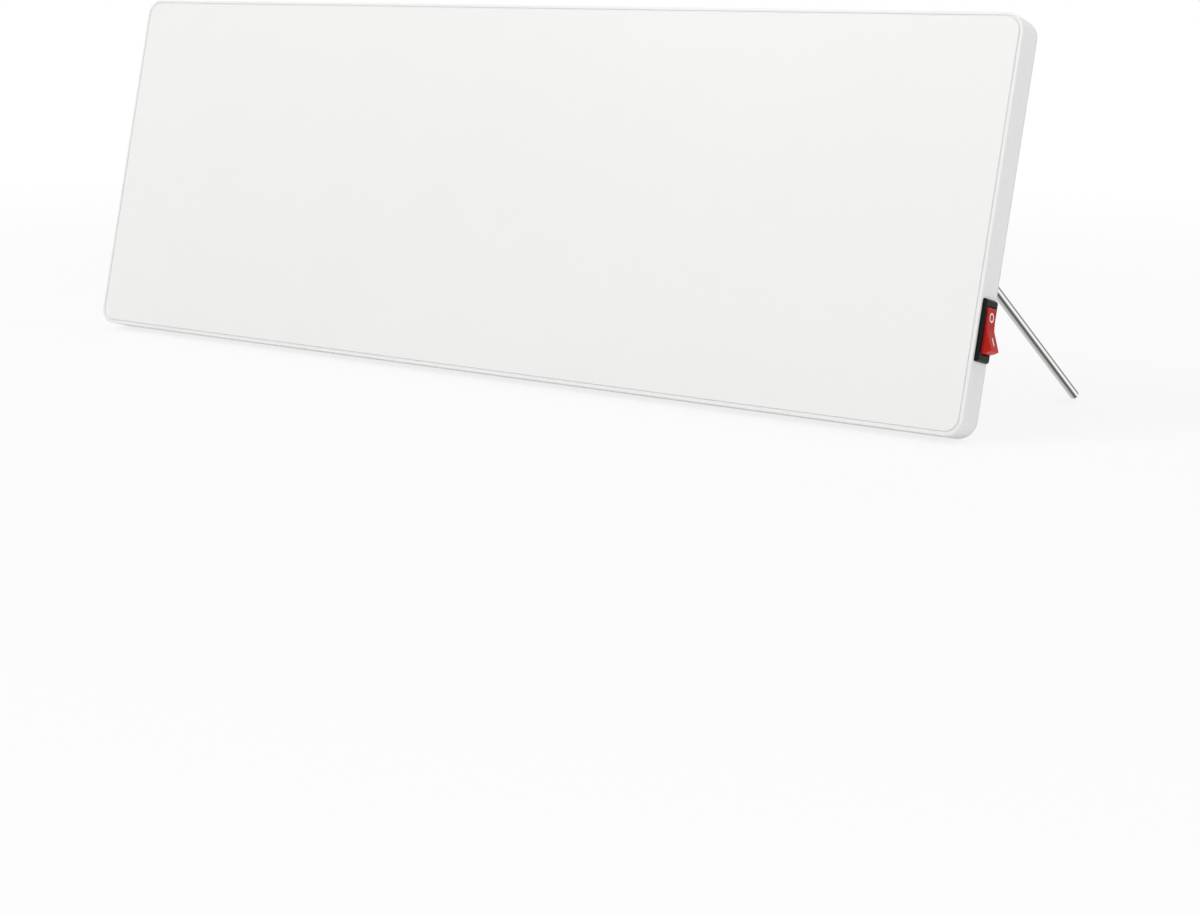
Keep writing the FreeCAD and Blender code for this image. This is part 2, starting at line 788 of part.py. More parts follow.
def rocker_marks():
    """Ring for off on the upper face and bar for on on the lower face, on the level rocker."""
    valley = V(rocker_x + rocker_valley, switch_y, switch_z)
    seat = valley.x - mark_depth
    ring = tube(V(seat, switch_y, switch_z + mark_offset), X_AXIS, mark_ring_radius + mark_line / 2,
                mark_ring_radius - mark_line / 2, mark_depth)
    bar = box(seat, seat + mark_depth, switch_y - mark_bar_width / 2, switch_y + mark_bar_width / 2,
              switch_z - mark_offset - mark_ring_radius, switch_z - mark_offset + mark_ring_radius)
    return [ring.rotated(valley, Y_AXIS, rocker_face_angle), bar.rotated(valley, Y_AXIS, -rocker_face_angle)]


def build_rocker_marks():
    return [turned(mark, -rocker_tilt) for mark in rocker_marks()]


def build_plunger():
    seat = rocker_x - rocker_skirt + plunger_seat_depth / 2
    length = plunger_length - (rocker_x - seat)
    stem = rod(V(seat - length, switch_y, switch_z), X_AXIS, plunger_radius, length)
    tip = [e for e in stem.Edges if all(abs(v.X - seat + length) < 1e-6 for v in e.Vertexes)]
    stem = stem.makeFillet(plunger_tip_round, tip)
    return turned(stem, -rocker_tilt)


def contact_z():
    return switch_z + blade_length / 2 - contact_radius


def build_blade():
    """Rocking contact blade on the middle tab's cross pin."""
    top = blade_x + blade_barrel_radius
    strip = box(top - blade_thickness, top, switch_y - blade_width / 2, switch_y + blade_width / 2,
                switch_z - blade_length / 2, switch_z + blade_length / 2)
    bore = blade_pivot_radius + blade_pivot_clearance
    barrel = rod(V(blade_x, switch_y - blade_width / 2, switch_z), Y_AXIS, blade_barrel_radius, blade_width)
    blade = strip.fuse(barrel)
    blade = blade.cut(rod(V(blade_x, switch_y - blade_width / 2 - overcut, switch_z), Y_AXIS, bore,
                          blade_width + 2 * overcut))
    post_room = tab_thickness + fit_gap
    blade = blade.cut(box(blade_x - 2 * bore - blade_barrel_wall, blade_x + bore / 2, switch_y - post_room,
                          switch_y + post_room, switch_z - 2 * bore, switch_z + 2 * bore))
    contact = rod(V(top - blade_thickness - contact_height, switch_y, contact_z()), X_AXIS,
                  contact_radius, contact_height)
    blade = blade.fuse(contact)
    return blade.rotated(V(blade_x, switch_y, switch_z), Y_AXIS, blade_tilt)


def build_tabs():
    tail = switch_back - tab_reach
    tabs = []
    for i in (-1, 0, 1):
        z = switch_z + i * tab_pitch
        blade = box(tail, switch_floor_x + tab_rise, switch_y - tab_width / 2, switch_y + tab_width / 2,
                    z - tab_thickness / 2, z + tab_thickness / 2)
        if i == 0:
            post = box(switch_floor_x, blade_x, switch_y - tab_thickness, switch_y + tab_thickness,
                       z - tab_thickness / 2, z + tab_thickness / 2)
            pin = rod(V(blade_x, switch_y - blade_width / 2, z), Y_AXIS, blade_pivot_radius, blade_width)
            blade = blade.fuse(post).fuse(pin)
        if i == 1:
            swing = math.sin(math.radians(blade_tilt)) * blade_length / 2
            seat = blade_x + blade_barrel_radius - blade_thickness - contact_height - swing - contact_gap
            foot = rod(V(switch_floor_x, switch_y, contact_z()), X_AXIS, contact_radius,
                       seat - switch_floor_x)
            bridge = box(switch_floor_x, switch_floor_x + bridge_thickness, switch_y - contact_radius,
                         switch_y + contact_radius, contact_z(), z)
            blade = blade.fuse(foot).fuse(bridge)
        tabs.append(blade)
    return tabs


def build_lamp():
    bulb = rod(V(switch_floor_x, switch_y, switch_z - lamp_offset), X_AXIS, lamp_radius, lamp_length)
    end = [e for e in bulb.Edges if all(abs(v.X - switch_floor_x - lamp_length) < 1e-6 for v in e.Vertexes)]
    return bulb.makeFillet(lamp_tip_round, end)


def receptacle_start():
    return switch_back - fit_gap


def build_receptacles():
    sleeves = []
    x1 = receptacle_start()
    for i in (-1, 0, 1):
        z = switch_z + i * tab_pitch
        half_y = tab_width / 2 + receptacle_gap + receptacle_wall
        half_z = tab_thickness / 2 + receptacle_gap + receptacle_wall
        slot_y = half_y - receptacle_wall
        slot_z = half_z - receptacle_wall
        sleeve = box(x1 - receptacle_length, x1, switch_y - half_y, switch_y + half_y,
                     z - half_z, z + half_z)
        slot = box(switch_back - tab_reach - receptacle_gap, x1 + overcut, switch_y - slot_y,
                   switch_y + slot_y, z - slot_z, z + slot_z)
        sleeves.append(sleeve.cut(slot))
    return sleeves


def build_block():
    z0 = block_way_z[0] - block_pitch / 2
    body = box(block_left, block_right, shelf_back, shelf_back + block_height,
               z0, z0 + block_ways * block_pitch)
    for z in block_way_z:
        body = body.cut(rod(V(block_left - overcut, block_tube_y, z), X_AXIS, tube_radius,
                            block_length + 2 * overcut))
        for x in block_screw_x():
            body = body.cut(rod(V(x, block_tube_y, z), Y_AXIS, block_screw_radius + pin_clearance,
                                block_height))
    return body


def block_screw_x():
    return (block_left + block_screw_inset, block_right - block_screw_inset)


def build_block_tubes():
    tubes = []
    for z in block_way_z:
        brass = tube(V(block_left, block_tube_y, z), X_AXIS, tube_radius, tube_bore, block_length)
        for x in block_screw_x():
            brass = brass.cut(rod(V(x, block_tube_y, z), Y_AXIS, block_screw_radius + thread_gap,
                                  tube_radius + overcut))
        tubes.append(brass)
    return tubes


def build_block_screws():
    screws = []
    for z in block_way_z:
        for x in block_screw_x():
            foot = block_tube_y + wire_radius + block_screw_bite
            screw = rod(V(x, foot, z), Y_AXIS, block_screw_radius, shelf_back + block_height - foot)
            top = shelf_back + block_height
            slot = box(x - block_screw_radius, x + block_screw_radius, top - block_slot_depth, top,
                       z - block_slot_width / 2, z + block_slot_width / 2)
            screws.append(screw.cut(slot))
    return screws


def build_gland():
    flange = rod(V(-half_width - gland_flange_height, gland_y, gland_z), X_AXIS, gland_flange_radius,
                 gland_flange_height)
    dome = Part.makeCone(gland_dome_radius, gland_shank_radius, gland_dome_height,
                         V(-half_width - gland_flange_height - gland_dome_height, gland_y, gland_z), X_AXIS)
    shank = rod(V(-half_width, gland_y, gland_z), X_AXIS, gland_shank_radius, gland_length)
    body = dome.fuse(flange).fuse(shank)
    long = gland_flange_height + gland_dome_height + gland_length
    start = V(-half_width - gland_flange_height - gland_dome_height - overcut, gland_y, gland_z)
    return body.cut(rod(start, X_AXIS, gland_bore_radius, long + 2 * overcut))


def build_gland_nut():
    start = V(-half_width + wall + flush_gap, gland_y, gland_z)
    nut = hexagon(start, X_AXIS, gland_nut_flats, gland_nut_height)
    return nut.cut(rod(start - V(overcut, 0, 0), X_AXIS, gland_shank_radius + thread_gap,
                       gland_nut_height + 2 * overcut))


def cutout_tab_places():
    return (cutout_z - cutout_tab_spacing / 2, cutout_z + cutout_tab_spacing / 2)


def build_cutout():
    cap = rod(V(cutout_x, film_back, cutout_z), Y_AXIS, cutout_cap_radius, cutout_cap_height)
    low = film_back + cutout_cap_height
    top = low + cutout_body_height
    shape = cap.fuse(rod(V(cutout_x, low, cutout_z), Y_AXIS, cutout_body_radius, cutout_body_height))
    for z in cutout_tab_places():
        shape = shape.fuse(box(cutout_x - cutout_tab_width / 2, cutout_x + cutout_tab_width / 2,
                               top, top + cutout_tab_height,
                               z - cutout_tab_thickness / 2, z + cutout_tab_thickness / 2))
    return shape


def build_press_pad():
    top = film_back + cutout_cap_height + cutout_body_height
    return rod(V(cutout_x, top, cutout_z), Y_AXIS, press_pad_radius, cover_y - top)


def build_fuse():
    fuse = rod(V(cutout_x, fuse_y, fuse_z - fuse_length / 2), Z_AXIS, fuse_radius, fuse_length)
    ends = [e for e in fuse.Edges if abs(e.Vertexes[0].Z - e.Vertexes[-1].Z) < 1e-6]
    return fuse.makeFillet(fuse_end_round, ends)


def build_sleeve():
    start = V(cutout_x, fuse_y, fuse_z - sleeve_length / 2)
    return tube(start, Z_AXIS, sleeve_radius, fuse_radius + fit_gap / 2, sleeve_length)


def tail_x():
    return receptacle_start() - receptacle_length


def build_wires():
    """Each wire's route: along the channel under the heating pack, and up to its terminals."""
    lane_1, lane_2, lane_3 = channel_y
    drop_1 = block_right + wire_bend + wire_radius
    drop_2 = drop_1 + 2 * wire_bend
    rise_1 = tail_x() - 2 * wire_bend
    rise_2 = rise_1 - 2 * wire_bend
    rise_3 = rise_2 - 2 * wire_bend
    inside = block_right - wire_block_reach
    way_live, way_neutral, way_earth = block_way_z
    low_tag, high_tag = film_tag_places()
    tag_y = busbar_back + film_tag_thickness + wire_radius
    tag_end = film_tag_width / 4
    tag_foot = low_tag[1] - film_tag_width / 2 - wire_bend
    tab_low, tab_high = cutout_tab_places()
    tab_low -= cutout_tab_thickness / 2
    tab_high += cutout_tab_thickness / 2
    tab_y = film_back + cutout_cap_height + cutout_body_height + cutout_tab_height / 2
    fuse_low = fuse_z - fuse_length / 2
    fuse_high = fuse_z + fuse_length / 2
    turn_z = high_tag[1] - 3 * wire_bend
    dip_x = high_tag[0] + film_tag_length / 2 + film_tag_window - wire_radius
    stud_x = -half_width + earth_x + earth_tag_reach / 2 + wire_radius
    stud_y = plate_thickness + earth_base_height + earth_tag_thickness + wire_radius
    side = 2 * wire_radius
    return {
        "live_supply_wire": wire_run([
            (inside, block_tube_y, way_live), (drop_1, block_tube_y, way_live), (drop_1, lane_1, channel_z),
            (rise_2, lane_1, channel_z), (rise_2, switch_y, switch_z), (tail_x(), switch_y, switch_z)]),
        "switched_live_wire": wire_run([
            (tail_x(), switch_y, switch_z + tab_pitch), (rise_3, switch_y, switch_z + tab_pitch),
            (rise_3, lane_2, channel_z), (cutout_x, lane_2, channel_z), (cutout_x, tab_y, tab_low / 2),
            (cutout_x, tab_y, tab_low)]),
        "cutout_link_wire": wire_run([
            (cutout_x, tab_y, tab_high), (cutout_x, tab_y, tab_high + 2 * wire_bend),
            (cutout_x, fuse_y, tab_high + 5 * wire_bend), (cutout_x, fuse_y, fuse_low)]),
        "element_live_wire": wire_run([
            (cutout_x, fuse_y, fuse_high), (cutout_x, fuse_y, turn_z),
            (dip_x + 2 * wire_bend, fuse_y, high_tag[1]), (dip_x, fuse_y, high_tag[1]),
            (high_tag[0] + film_tag_length / 2, tag_y, high_tag[1]),
            (high_tag[0] - tag_end, tag_y, high_tag[1])]),
        "neutral_wire": wire_run([
            (inside, block_tube_y, way_neutral), (drop_2, block_tube_y, way_neutral),
            (drop_2, lane_3, channel_z), (low_tag[0] - side, lane_3, channel_z),
            (low_tag[0] - side, tag_y, tag_foot), (low_tag[0] - side, tag_y, low_tag[1] + tag_end)]),
        "lamp_neutral_wire": wire_run([
            (low_tag[0] + side, tag_y, low_tag[1] + tag_end), (low_tag[0] + side, tag_y, tag_foot),
            (low_tag[0] + side, lane_3, channel_z), (rise_1, lane_3, channel_z),
            (rise_1, switch_y, switch_z - tab_pitch), (tail_x(), switch_y, switch_z - tab_pitch)]),
        "earth_wire": wire_run([
            (inside, block_tube_y, way_earth), (drop_1, block_tube_y, way_earth),
            (drop_1, stud_y, earth_z), (stud_x, stud_y, earth_z)]),
    }


def build_wire_clips():
    """Comb clips on the back of the plate, one notch for each wire in the channel."""
    half = wire_radius + clip_wall
    clips = []
    for x in clip_places:
        clip = box(x - clip_length / 2, x + clip_length / 2, plate_thickness, channel_y[-1] + half,
                   channel_z - half, channel_z + half)
        for y in channel_y:
            clip = clip.cut(rod(V(x - clip_length, y, channel_z), X_AXIS, wire_radius + pin_clearance,
                                2 * clip_length))
            clip = clip.cut(box(x - clip_length, x + clip_length, y - wire_radius / 2, y + wire_radius / 2,
                                channel_z, channel_z + 2 * half))
        clips.append(clip)
    return clips


def earth_centre(y):
    return V(-half_width + earth_x, y, earth_z)


def build_earth_stud():
    base = rod(earth_centre(plate_thickness), Y_AXIS, earth_base_radius, earth_base_height)
    return base.fuse(rod(earth_centre(plate_thickness), Y_AXIS, earth_stud_radius, earth_stud_length))


def build_earth_tag():
    low = plate_thickness + earth_base_height
    ring = rod(earth_centre(low), Y_AXIS, earth_tag_radius, earth_tag_thickness)
    x0 = -half_width + earth_x
    tongue = box(x0, x0 + earth_tag_reach, low, low + earth_tag_thickness,
                 earth_z - earth_tag_width / 2, earth_z + earth_tag_width / 2)
    bore = rod(earth_centre(low - overcut), Y_AXIS, earth_stud_radius + pin_clearance,
               earth_tag_thickness + 2 * overcut)
    return ring.fuse(tongue).cut(bore).removeSplitter()


def build_earth_nut():
    low = plate_thickness + earth_base_height + earth_tag_thickness
    nut = hexagon(earth_centre(low), Y_AXIS, earth_nut_flats, earth_nut_height)
    return nut.cut(rod(earth_centre(low - overcut), Y_AXIS, earth_stud_radius + thread_gap,
                       earth_nut_height + 2 * overcut))


def resting_lean():
    """Angle at which the cover's rear bottom edge and the leg tips touch one level floor."""
    points, out = leg_points(1, 0)
    tip = points[2] - out * rod_tip_radius
    edge_y = panel_depth - rear_edge_radius
    edge_z = cover_inset + rear_edge_radius

    def difference(angle):
        up = V(0, -math.sin(angle), math.cos(angle))
        edge = up.dot(V(0, edge_y, edge_z)) - rear_edge_radius
        slope = math.sqrt(1 - up.dot(out) ** 2)
        foot = up.dot(tip) - (rod_radius - rod_tip_radius) * slope - rod_tip_radius
        return foot - edge

    low = 0.0
    high = math.radians(45)
    for _ in range(60):
        middle = (low + high) / 2
        if difference(middle) > 0:
            low = middle
        else:
            high = middle
    return low


def standing_placement():
    """Carries the panel's frame to the standing frame, with its origin under the middle of the part."""
    angle = resting_lean()
    points, out = leg_points(1, 0)
    tip = points[2] - out * rod_tip_radius
    back = V(0, math.cos(angle), math.sin(angle))
    up = V(0, -math.sin(angle), math.cos(angle))
    front_reach = back.dot(V(0, front_edge_radius, front_edge_radius)) - front_edge_radius
    spread = math.sqrt(1 - back.dot(out) ** 2)
    rear_reach = back.dot(tip) + (rod_radius - rod_tip_radius) * spread + rod_tip_radius
    edge = V(0, panel_depth - rear_edge_radius, cover_inset + rear_edge_radius)
    drop = up.dot(edge) - rear_edge_radius
    shift = V(0, -(front_reach + rear_reach) / 2, -drop)
    return FreeCAD.Placement(shift, FreeCAD.Rotation(X_AXIS, -math.degrees(angle)))


def build_all():
    nodes = {
        "frame": build_frame(),
        "front_plate": build_plate(),
        "plate_seal": build_seal(),
        "heating_film": build_film(),
        "film_busbars": build_busbars(),
        "film_tags": build_film_tags(),
        "insulation_pad": build_pad(),
        "rear_cover": build_cover(),
        "cover_screws": build_cover_screws(),
        "switch_housing": build_switch_housing(),
        "switch_rocker": build_rocker(),
        "rocker_marks": build_rocker_marks(),
        "switch_plunger": build_plunger(),
        "switch_contact_blade": build_blade(),
        "switch_tabs": build_tabs(),
        "switch_lamp": build_lamp(),
        "switch_receptacles": build_receptacles(),
        "terminal_block": build_block(),
        "terminal_block_tubes": build_block_tubes(),
        "terminal_block_screws": build_block_screws(),
        "overheat_cutout": build_cutout(),
        "cutout_press_pad": build_press_pad(),
        "thermal_fuse": build_fuse(),
        "fuse_sleeve": build_sleeve(),
        "wire_clips": build_wire_clips(),
        "earth_stud": build_earth_stud(),
        "earth_tag": build_earth_tag(),
        "earth_nut": build_earth_nut(),
        "cord_gland": build_gland(),
        "gland_nut": build_gland_nut(),
        "strap_screws": build_strap_screws(),
    }
    nodes.update(build_wires())
    for side, name in ((1, "right"), (-1, "left")):
        nodes[name + "_leg"] = build_leg(side)
        nodes[name + "_leg_ring"] = build_ring(side)
        nodes[name + "_leg_strap"] = build_strap(side)
        nodes[name + "_ear"] = build_ear(side)
        nodes[name + "_ear_washer"] = build_ear_washer(side)
        nodes[name + "_ear_rivet"] = build_ear_rivet(side)
    return nodes


def main():
    os.makedirs("parts", exist_ok=True)
    placement = standing_placement()
    print("lean", round(math.degrees(resting_lean()), 3))
    for name, made in build_all().items():
        solids = made if isinstance(made, list) else [made]
        shape = Part.makeCompound(solids) if len(solids) > 1 else solids[0]
        shape = shape.copy()
        shape.Placement = placement.multiply(shape.Placement)
        bad = [s for s in shape.Solids if not s.isValid()]
        print(name, len(shape.Solids), "solids", round(shape.Volume, 1), "mm3", "INVALID" if bad else "")
        shape.exportStep(os.path.join("parts", name + ".step"))


main()
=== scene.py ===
import bpy
import bmesh
import json
import math
from mathutils import Matrix, Vector


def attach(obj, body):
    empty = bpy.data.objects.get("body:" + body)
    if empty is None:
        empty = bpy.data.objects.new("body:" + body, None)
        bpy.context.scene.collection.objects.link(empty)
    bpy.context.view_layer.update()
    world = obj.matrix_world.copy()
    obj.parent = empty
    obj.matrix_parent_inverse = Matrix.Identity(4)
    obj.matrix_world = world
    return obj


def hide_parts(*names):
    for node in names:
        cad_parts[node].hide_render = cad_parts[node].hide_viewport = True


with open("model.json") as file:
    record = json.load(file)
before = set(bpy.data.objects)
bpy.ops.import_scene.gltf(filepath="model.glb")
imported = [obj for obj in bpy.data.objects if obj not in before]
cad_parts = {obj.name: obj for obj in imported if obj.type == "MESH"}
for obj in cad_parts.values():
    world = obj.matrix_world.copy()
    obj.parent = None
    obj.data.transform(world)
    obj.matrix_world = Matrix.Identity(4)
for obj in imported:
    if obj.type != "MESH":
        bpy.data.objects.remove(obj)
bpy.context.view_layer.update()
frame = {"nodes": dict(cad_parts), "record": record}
joints = {j["name"]: j for j in frame["record"]["behaviour"]["joints"]}
print("frame loaded:", len(frame["nodes"]), "nodes")

# the heater's own frame, in millimetres: x right, y front to back, z up the panel
panel = {
    "width": 600.0,
    "height": 206.0,
    "corner": 9.5,
    "leastCorner": 0.5,
    "cornerSteps": 18,
    "coverSeam": 16.0,
    "legPin": (279.0, 13.8, 113.6),  # the right leg's joint, as a point of the panel
}


def panelAxes():
    across = Vector((1, 0, 0))
    back = Vector(joints["right_ear_swivel"]["axis"])
    up = Vector(joints["right_leg_fold"]["axis"])
    turn = Matrix((across, back, up)).transposed()
    pin = Vector(joints["right_leg_fold"]["pos_m"])
    origin = pin - turn @ (Vector(panel["legPin"]) / 1000)
    return Matrix.Translation(origin) @ turn.to_4x4() @ Matrix.Scale(0.001, 4)


panelMatrix = panelAxes()


# mesh helpers
meshing = {
    "merge": 1e-4,  # points nearer than this become one
    "smoothAngle": 35,  # edges that turn more than this stay sharp
    "faceWeight": 100,
    "barSides": 40,
    "sideways": (1, 0.13, 0.21),  # no bar or rod runs this way
}


def smoothMesh(mesh, angle):
    mesh.shade_smooth()
    mesh.set_sharp_from_angle(angle=math.radians(angle))


def meshPiece(name, bm, smoothAngle=meshing["smoothAngle"]):
    bmesh.ops.remove_doubles(bm, verts=bm.verts, dist=meshing["merge"])
    bmesh.ops.recalc_face_normals(bm, faces=bm.faces)
    bm.transform(panelMatrix)
    mesh = bpy.data.meshes.new(name)
    bm.to_mesh(mesh)
    bm.free()
    smoothMesh(mesh, smoothAngle)
    obj = bpy.data.objects.new(name, mesh)
    bpy.context.collection.objects.link(obj)
    return obj


def flatNormals(obj):
    # large flat faces keep their own normal, and the round edges take up the turn
    mod = obj.modifiers.new("flatNormals", "WEIGHTED_NORMAL")
    mod.keep_sharp = True
    mod.weight = meshing["faceWeight"]


def roundedLoop(x0, x1, z0, z1, radius, steps):
    points = []
    corners = ((x1 - radius, z1 - radius, 0), (x0 + radius, z1 - radius, 90),
               (x0 + radius, z0 + radius, 180), (x1 - radius, z0 + radius, 270))
    for cx, cz, start in corners:
        for i in range(steps + 1):
            a = math.radians(start + 90 * i / steps)
            points.append((cx + radius * math.cos(a), cz + radius * math.sin(a)))
    return points


def outlineLoop(inset, y):
    half = panel["width"] / 2 - inset
    radius = max(panel["corner"] - inset, panel["leastCorner"])
    loop = roundedLoop(-half, half, inset, panel["height"] - inset, radius, panel["cornerSteps"])
    return [Vector((x, y, z)) for x, z in loop]


def loftLoops(bm, loops, closed=False, capFirst=False, capLast=False):
    rows = [[bm.verts.new(p) for p in loop] for loop in loops]
    pairs = list(zip(rows, rows[1:]))
    if closed:
        pairs.append((rows[-1], rows[0]))
    for a, b in pairs:
        n = len(a)
        for i in range(n):
            bm.faces.new((a[i], a[(i + 1) % n], b[(i + 1) % n], b[i]))
    if capFirst:
        bm.faces.new(rows[0])
    if capLast:
        bm.faces.new(list(reversed(rows[-1])))


def arcPairs(cx, cy, radius, start, end, steps):
    out = []
    for i in range(steps + 1):
        a = math.radians(start + (end - start) * i / steps)
        out.append((cx + radius * math.cos(a), cy + radius * math.sin(a)))
    return out


def circlePairs(cx, cy, radius, sides):
    return arcPairs(cx, cy, radius, 0, 360, sides)[:-1]


def tubeAlong(bm, points, radii, sides):
    # rings square to the path, one radius each, capped at both ends
    ref = Vector(meshing["sideways"]).normalized()
    loops = []
    for i, p in enumerate(points):
        d = (points[min(i + 1, len(points) - 1)] - points[max(i - 1, 0)]).normalized()
        u = (ref - d * ref.dot(d)).normalized()
        v = d.cross(u)
        loops.append([p + u * a + v * b for a, b in circlePairs(0, 0, radii[i], sides)])
    loftLoops(bm, loops, capFirst=True, capLast=True)


def blockAlongX(bm, loop, x0, x1):
    # a block between two places along x, drawn as a loop of y and z
    rows = [[Vector((x, y, z)) for y, z in loop] for x in (x0, x1)]
    loftLoops(bm, rows, capFirst=True, capLast=True)


def roundBars(name, runs, radius, sides=meshing["barSides"]):
    # straight round bars, one for each pair of ends
    bm = bmesh.new()
    for run in runs:
        tubeAlong(bm, [Vector(end) for end in run], [radius, radius], sides)
    return meshPiece(name, bm)


def slabs(name, loops, y0, y1):
    # flat blocks, each drawn as a loop of x and z
    bm = bmesh.new()
    for loop in loops:
        rows = [[Vector((x, y, z)) for x, z in loop] for y in (y0, y1)]
        loftLoops(bm, rows, capFirst=True, capLast=True)
    return meshPiece(name, bm)


def combine(piece, joined, cut):
    # boolean joins and cuts, applied to a new mesh
    for other in joined + cut:
        mod = piece.modifiers.new("combine", "BOOLEAN")
        mod.operation = "UNION" if other in joined else "DIFFERENCE"
        mod.object = other
        mod.solver = "EXACT"
    graph = bpy.context.evaluated_depsgraph_get()
    mesh = bpy.data.meshes.new_from_object(piece.evaluated_get(graph))
    piece.modifiers.clear()
    smoothMesh(mesh, meshing["smoothAngle"])
    piece.data = mesh
    for other in joined + cut:
        bpy.data.objects.remove(other)


def dress(obj, material):
    obj.data.materials.clear()
    obj.data.materials.append(material)


# materials
noiseSpan = {
    "tint": (0.35, 0.65),  # the stretch of the noise that goes from dark to light
    "rough": (0.3, 0.7),  # and from smooth to rough
}


def newMaterial(name, colour, roughness, metallic=0.0, specular=0.5):
    mat = bpy.data.materials.new(name)
    mat.use_nodes = True
    shader = mat.node_tree.nodes["Principled BSDF"]
    shader.inputs["Base Color"].default_value = (*colour, 1)
    shader.inputs["Roughness"].default_value = roughness
    shader.inputs["Metallic"].default_value = metallic
    shader.inputs["Specular IOR Level"].default_value = specular
    return mat, mat.node_tree.nodes, mat.node_tree.links, shader


def noiseNode(nodes, links, scale, detail=4.0, rough=0.55):
    coords = nodes.new("ShaderNodeTexCoord")
    noise = nodes.new("ShaderNodeTexNoise")
    noise.inputs["Scale"].default_value = scale
    noise.inputs["Detail"].default_value = detail
    noise.inputs["Roughness"].default_value = rough
    links.new(coords.outputs["Object"], noise.inputs["Vector"])
    return noise


def addTint(nodes, links, shader, noise, dark, light):
    ramp = nodes.new("ShaderNodeValToRGB")
    for stop, place, colour in zip(ramp.color_ramp.elements, noiseSpan["tint"], (dark, light)):
        stop.position = place
        stop.color = (*colour, 1)
    links.new(noise.outputs["Fac"], ramp.inputs["Fac"])
    links.new(ramp.outputs["Color"], shader.inputs["Base Color"])


def addRoughRange(nodes, links, shader, noise, low, high):
    span = nodes.new("ShaderNodeMapRange")
    span.inputs["From Min"].default_value, span.inputs["From Max"].default_value = noiseSpan["rough"]
    span.inputs["To Min"].default_value = low
    span.inputs["To Max"].default_value = high
    links.new(noise.outputs["Fac"], span.inputs["Value"])
    links.new(span.outputs["Result"], shader.inputs["Roughness"])


def addBump(nodes, links, shader, noise, strength, distance):
    bump = nodes.new("ShaderNodeBump")
    bump.inputs["Strength"].default_value = strength
    bump.inputs["Distance"].default_value = distance
    links.new(noise.outputs["Fac"], bump.inputs["Height"])
    links.new(bump.outputs["Normal"], shader.inputs["Normal"])


def shades(colour, darker, lighter):
    return [c * darker for c in colour], [min(c * lighter, 1.0) for c in colour]


grain = {
    "drift": (6.0, 3.0),  # scale and detail of the slow colour drift
    "fineDetail": 5.0,
    "gloss": (0.85, 1.15),  # least and most of the named roughness
    "depth": 0.00006,
}


def grainedMaterial(name, colour, spread, roughness, scale, strength, specular=0.5):
    # a moulded or coated finish: slow colour drift, uneven gloss and a fine grain
    mat, nodes, links, shader = newMaterial(name, colour, roughness, 0.0, specular)
    drift = noiseNode(nodes, links, *grain["drift"])
    addTint(nodes, links, shader, drift, *shades(colour, 1 - spread, 1 + spread))
    fine = noiseNode(nodes, links, scale, grain["fineDetail"])
    addRoughRange(nodes, links, shader, fine, *(roughness * g for g in grain["gloss"]))
    addBump(nodes, links, shader, fine, strength, grain["depth"])
    return mat


drawn = {
    "lineDetail": 6.0,
    "cloudScale": 60.0,
    "clouds": (0.94, 1.05),  # least and most of the named colour
    "gloss": (0.7, 1.4),  # least and most of the named roughness
    "bump": (0.12, 0.00004),  # strength, depth
}


def drawnSteel(name, colour, roughness, lineScale):
    # metal with fine lines along one way and faint cloudy patches
    mat, nodes, links, shader = newMaterial(name, colour, roughness, 1.0)
    coords = nodes.new("ShaderNodeTexCoord")
    stretch = nodes.new("ShaderNodeMapping")
    stretch.inputs["Scale"].default_value = lineScale
    lines = nodes.new("ShaderNodeTexNoise")
    lines.inputs["Scale"].default_value = 1.0
    lines.inputs["Detail"].default_value = drawn["lineDetail"]
    links.new(coords.outputs["Object"], stretch.inputs["Vector"])
    links.new(stretch.outputs["Vector"], lines.inputs["Vector"])
    clouds = noiseNode(nodes, links, drawn["cloudScale"])
    addTint(nodes, links, shader, clouds, *shades(colour, *drawn["clouds"]))
    addRoughRange(nodes, links, shader, lines, *(roughness * g for g in drawn["gloss"]))
    addBump(nodes, links, shader, lines, *drawn["bump"])
    return mat


# painted reflection and highlight on the rods: bands of light and dark grey put into the base colour
rodPaintedReflection = {
    "facing": (0.967, -0.208, -0.148),  # the way the rods' brightest painted highlight line faces
    "bands": (  # painted reflection bands: how far the surface turns to that way, and its grey
        (-1.0, 0.70), (-0.75, 0.22), (-0.3, 0.58), (0.25, 0.55), (0.52, 0.52), (0.66, 0.28),
        (0.78, 0.11), (0.85, 0.085), (0.92, 0.15), (0.962, 0.42), (0.985, 0.95),
    ),
    "warmth": (1.0, 0.995, 0.975),
    "grey": (0.5, 0.5, 0.49),  # plain colour where the bands are not read
    "roughness": 0.12,
    "scratches": (1400.0, 6.0),  # scale, detail
    "gloss": (0.09, 0.16),  # least and most roughness
    "bump": (0.05, 0.00003),  # strength, depth
}


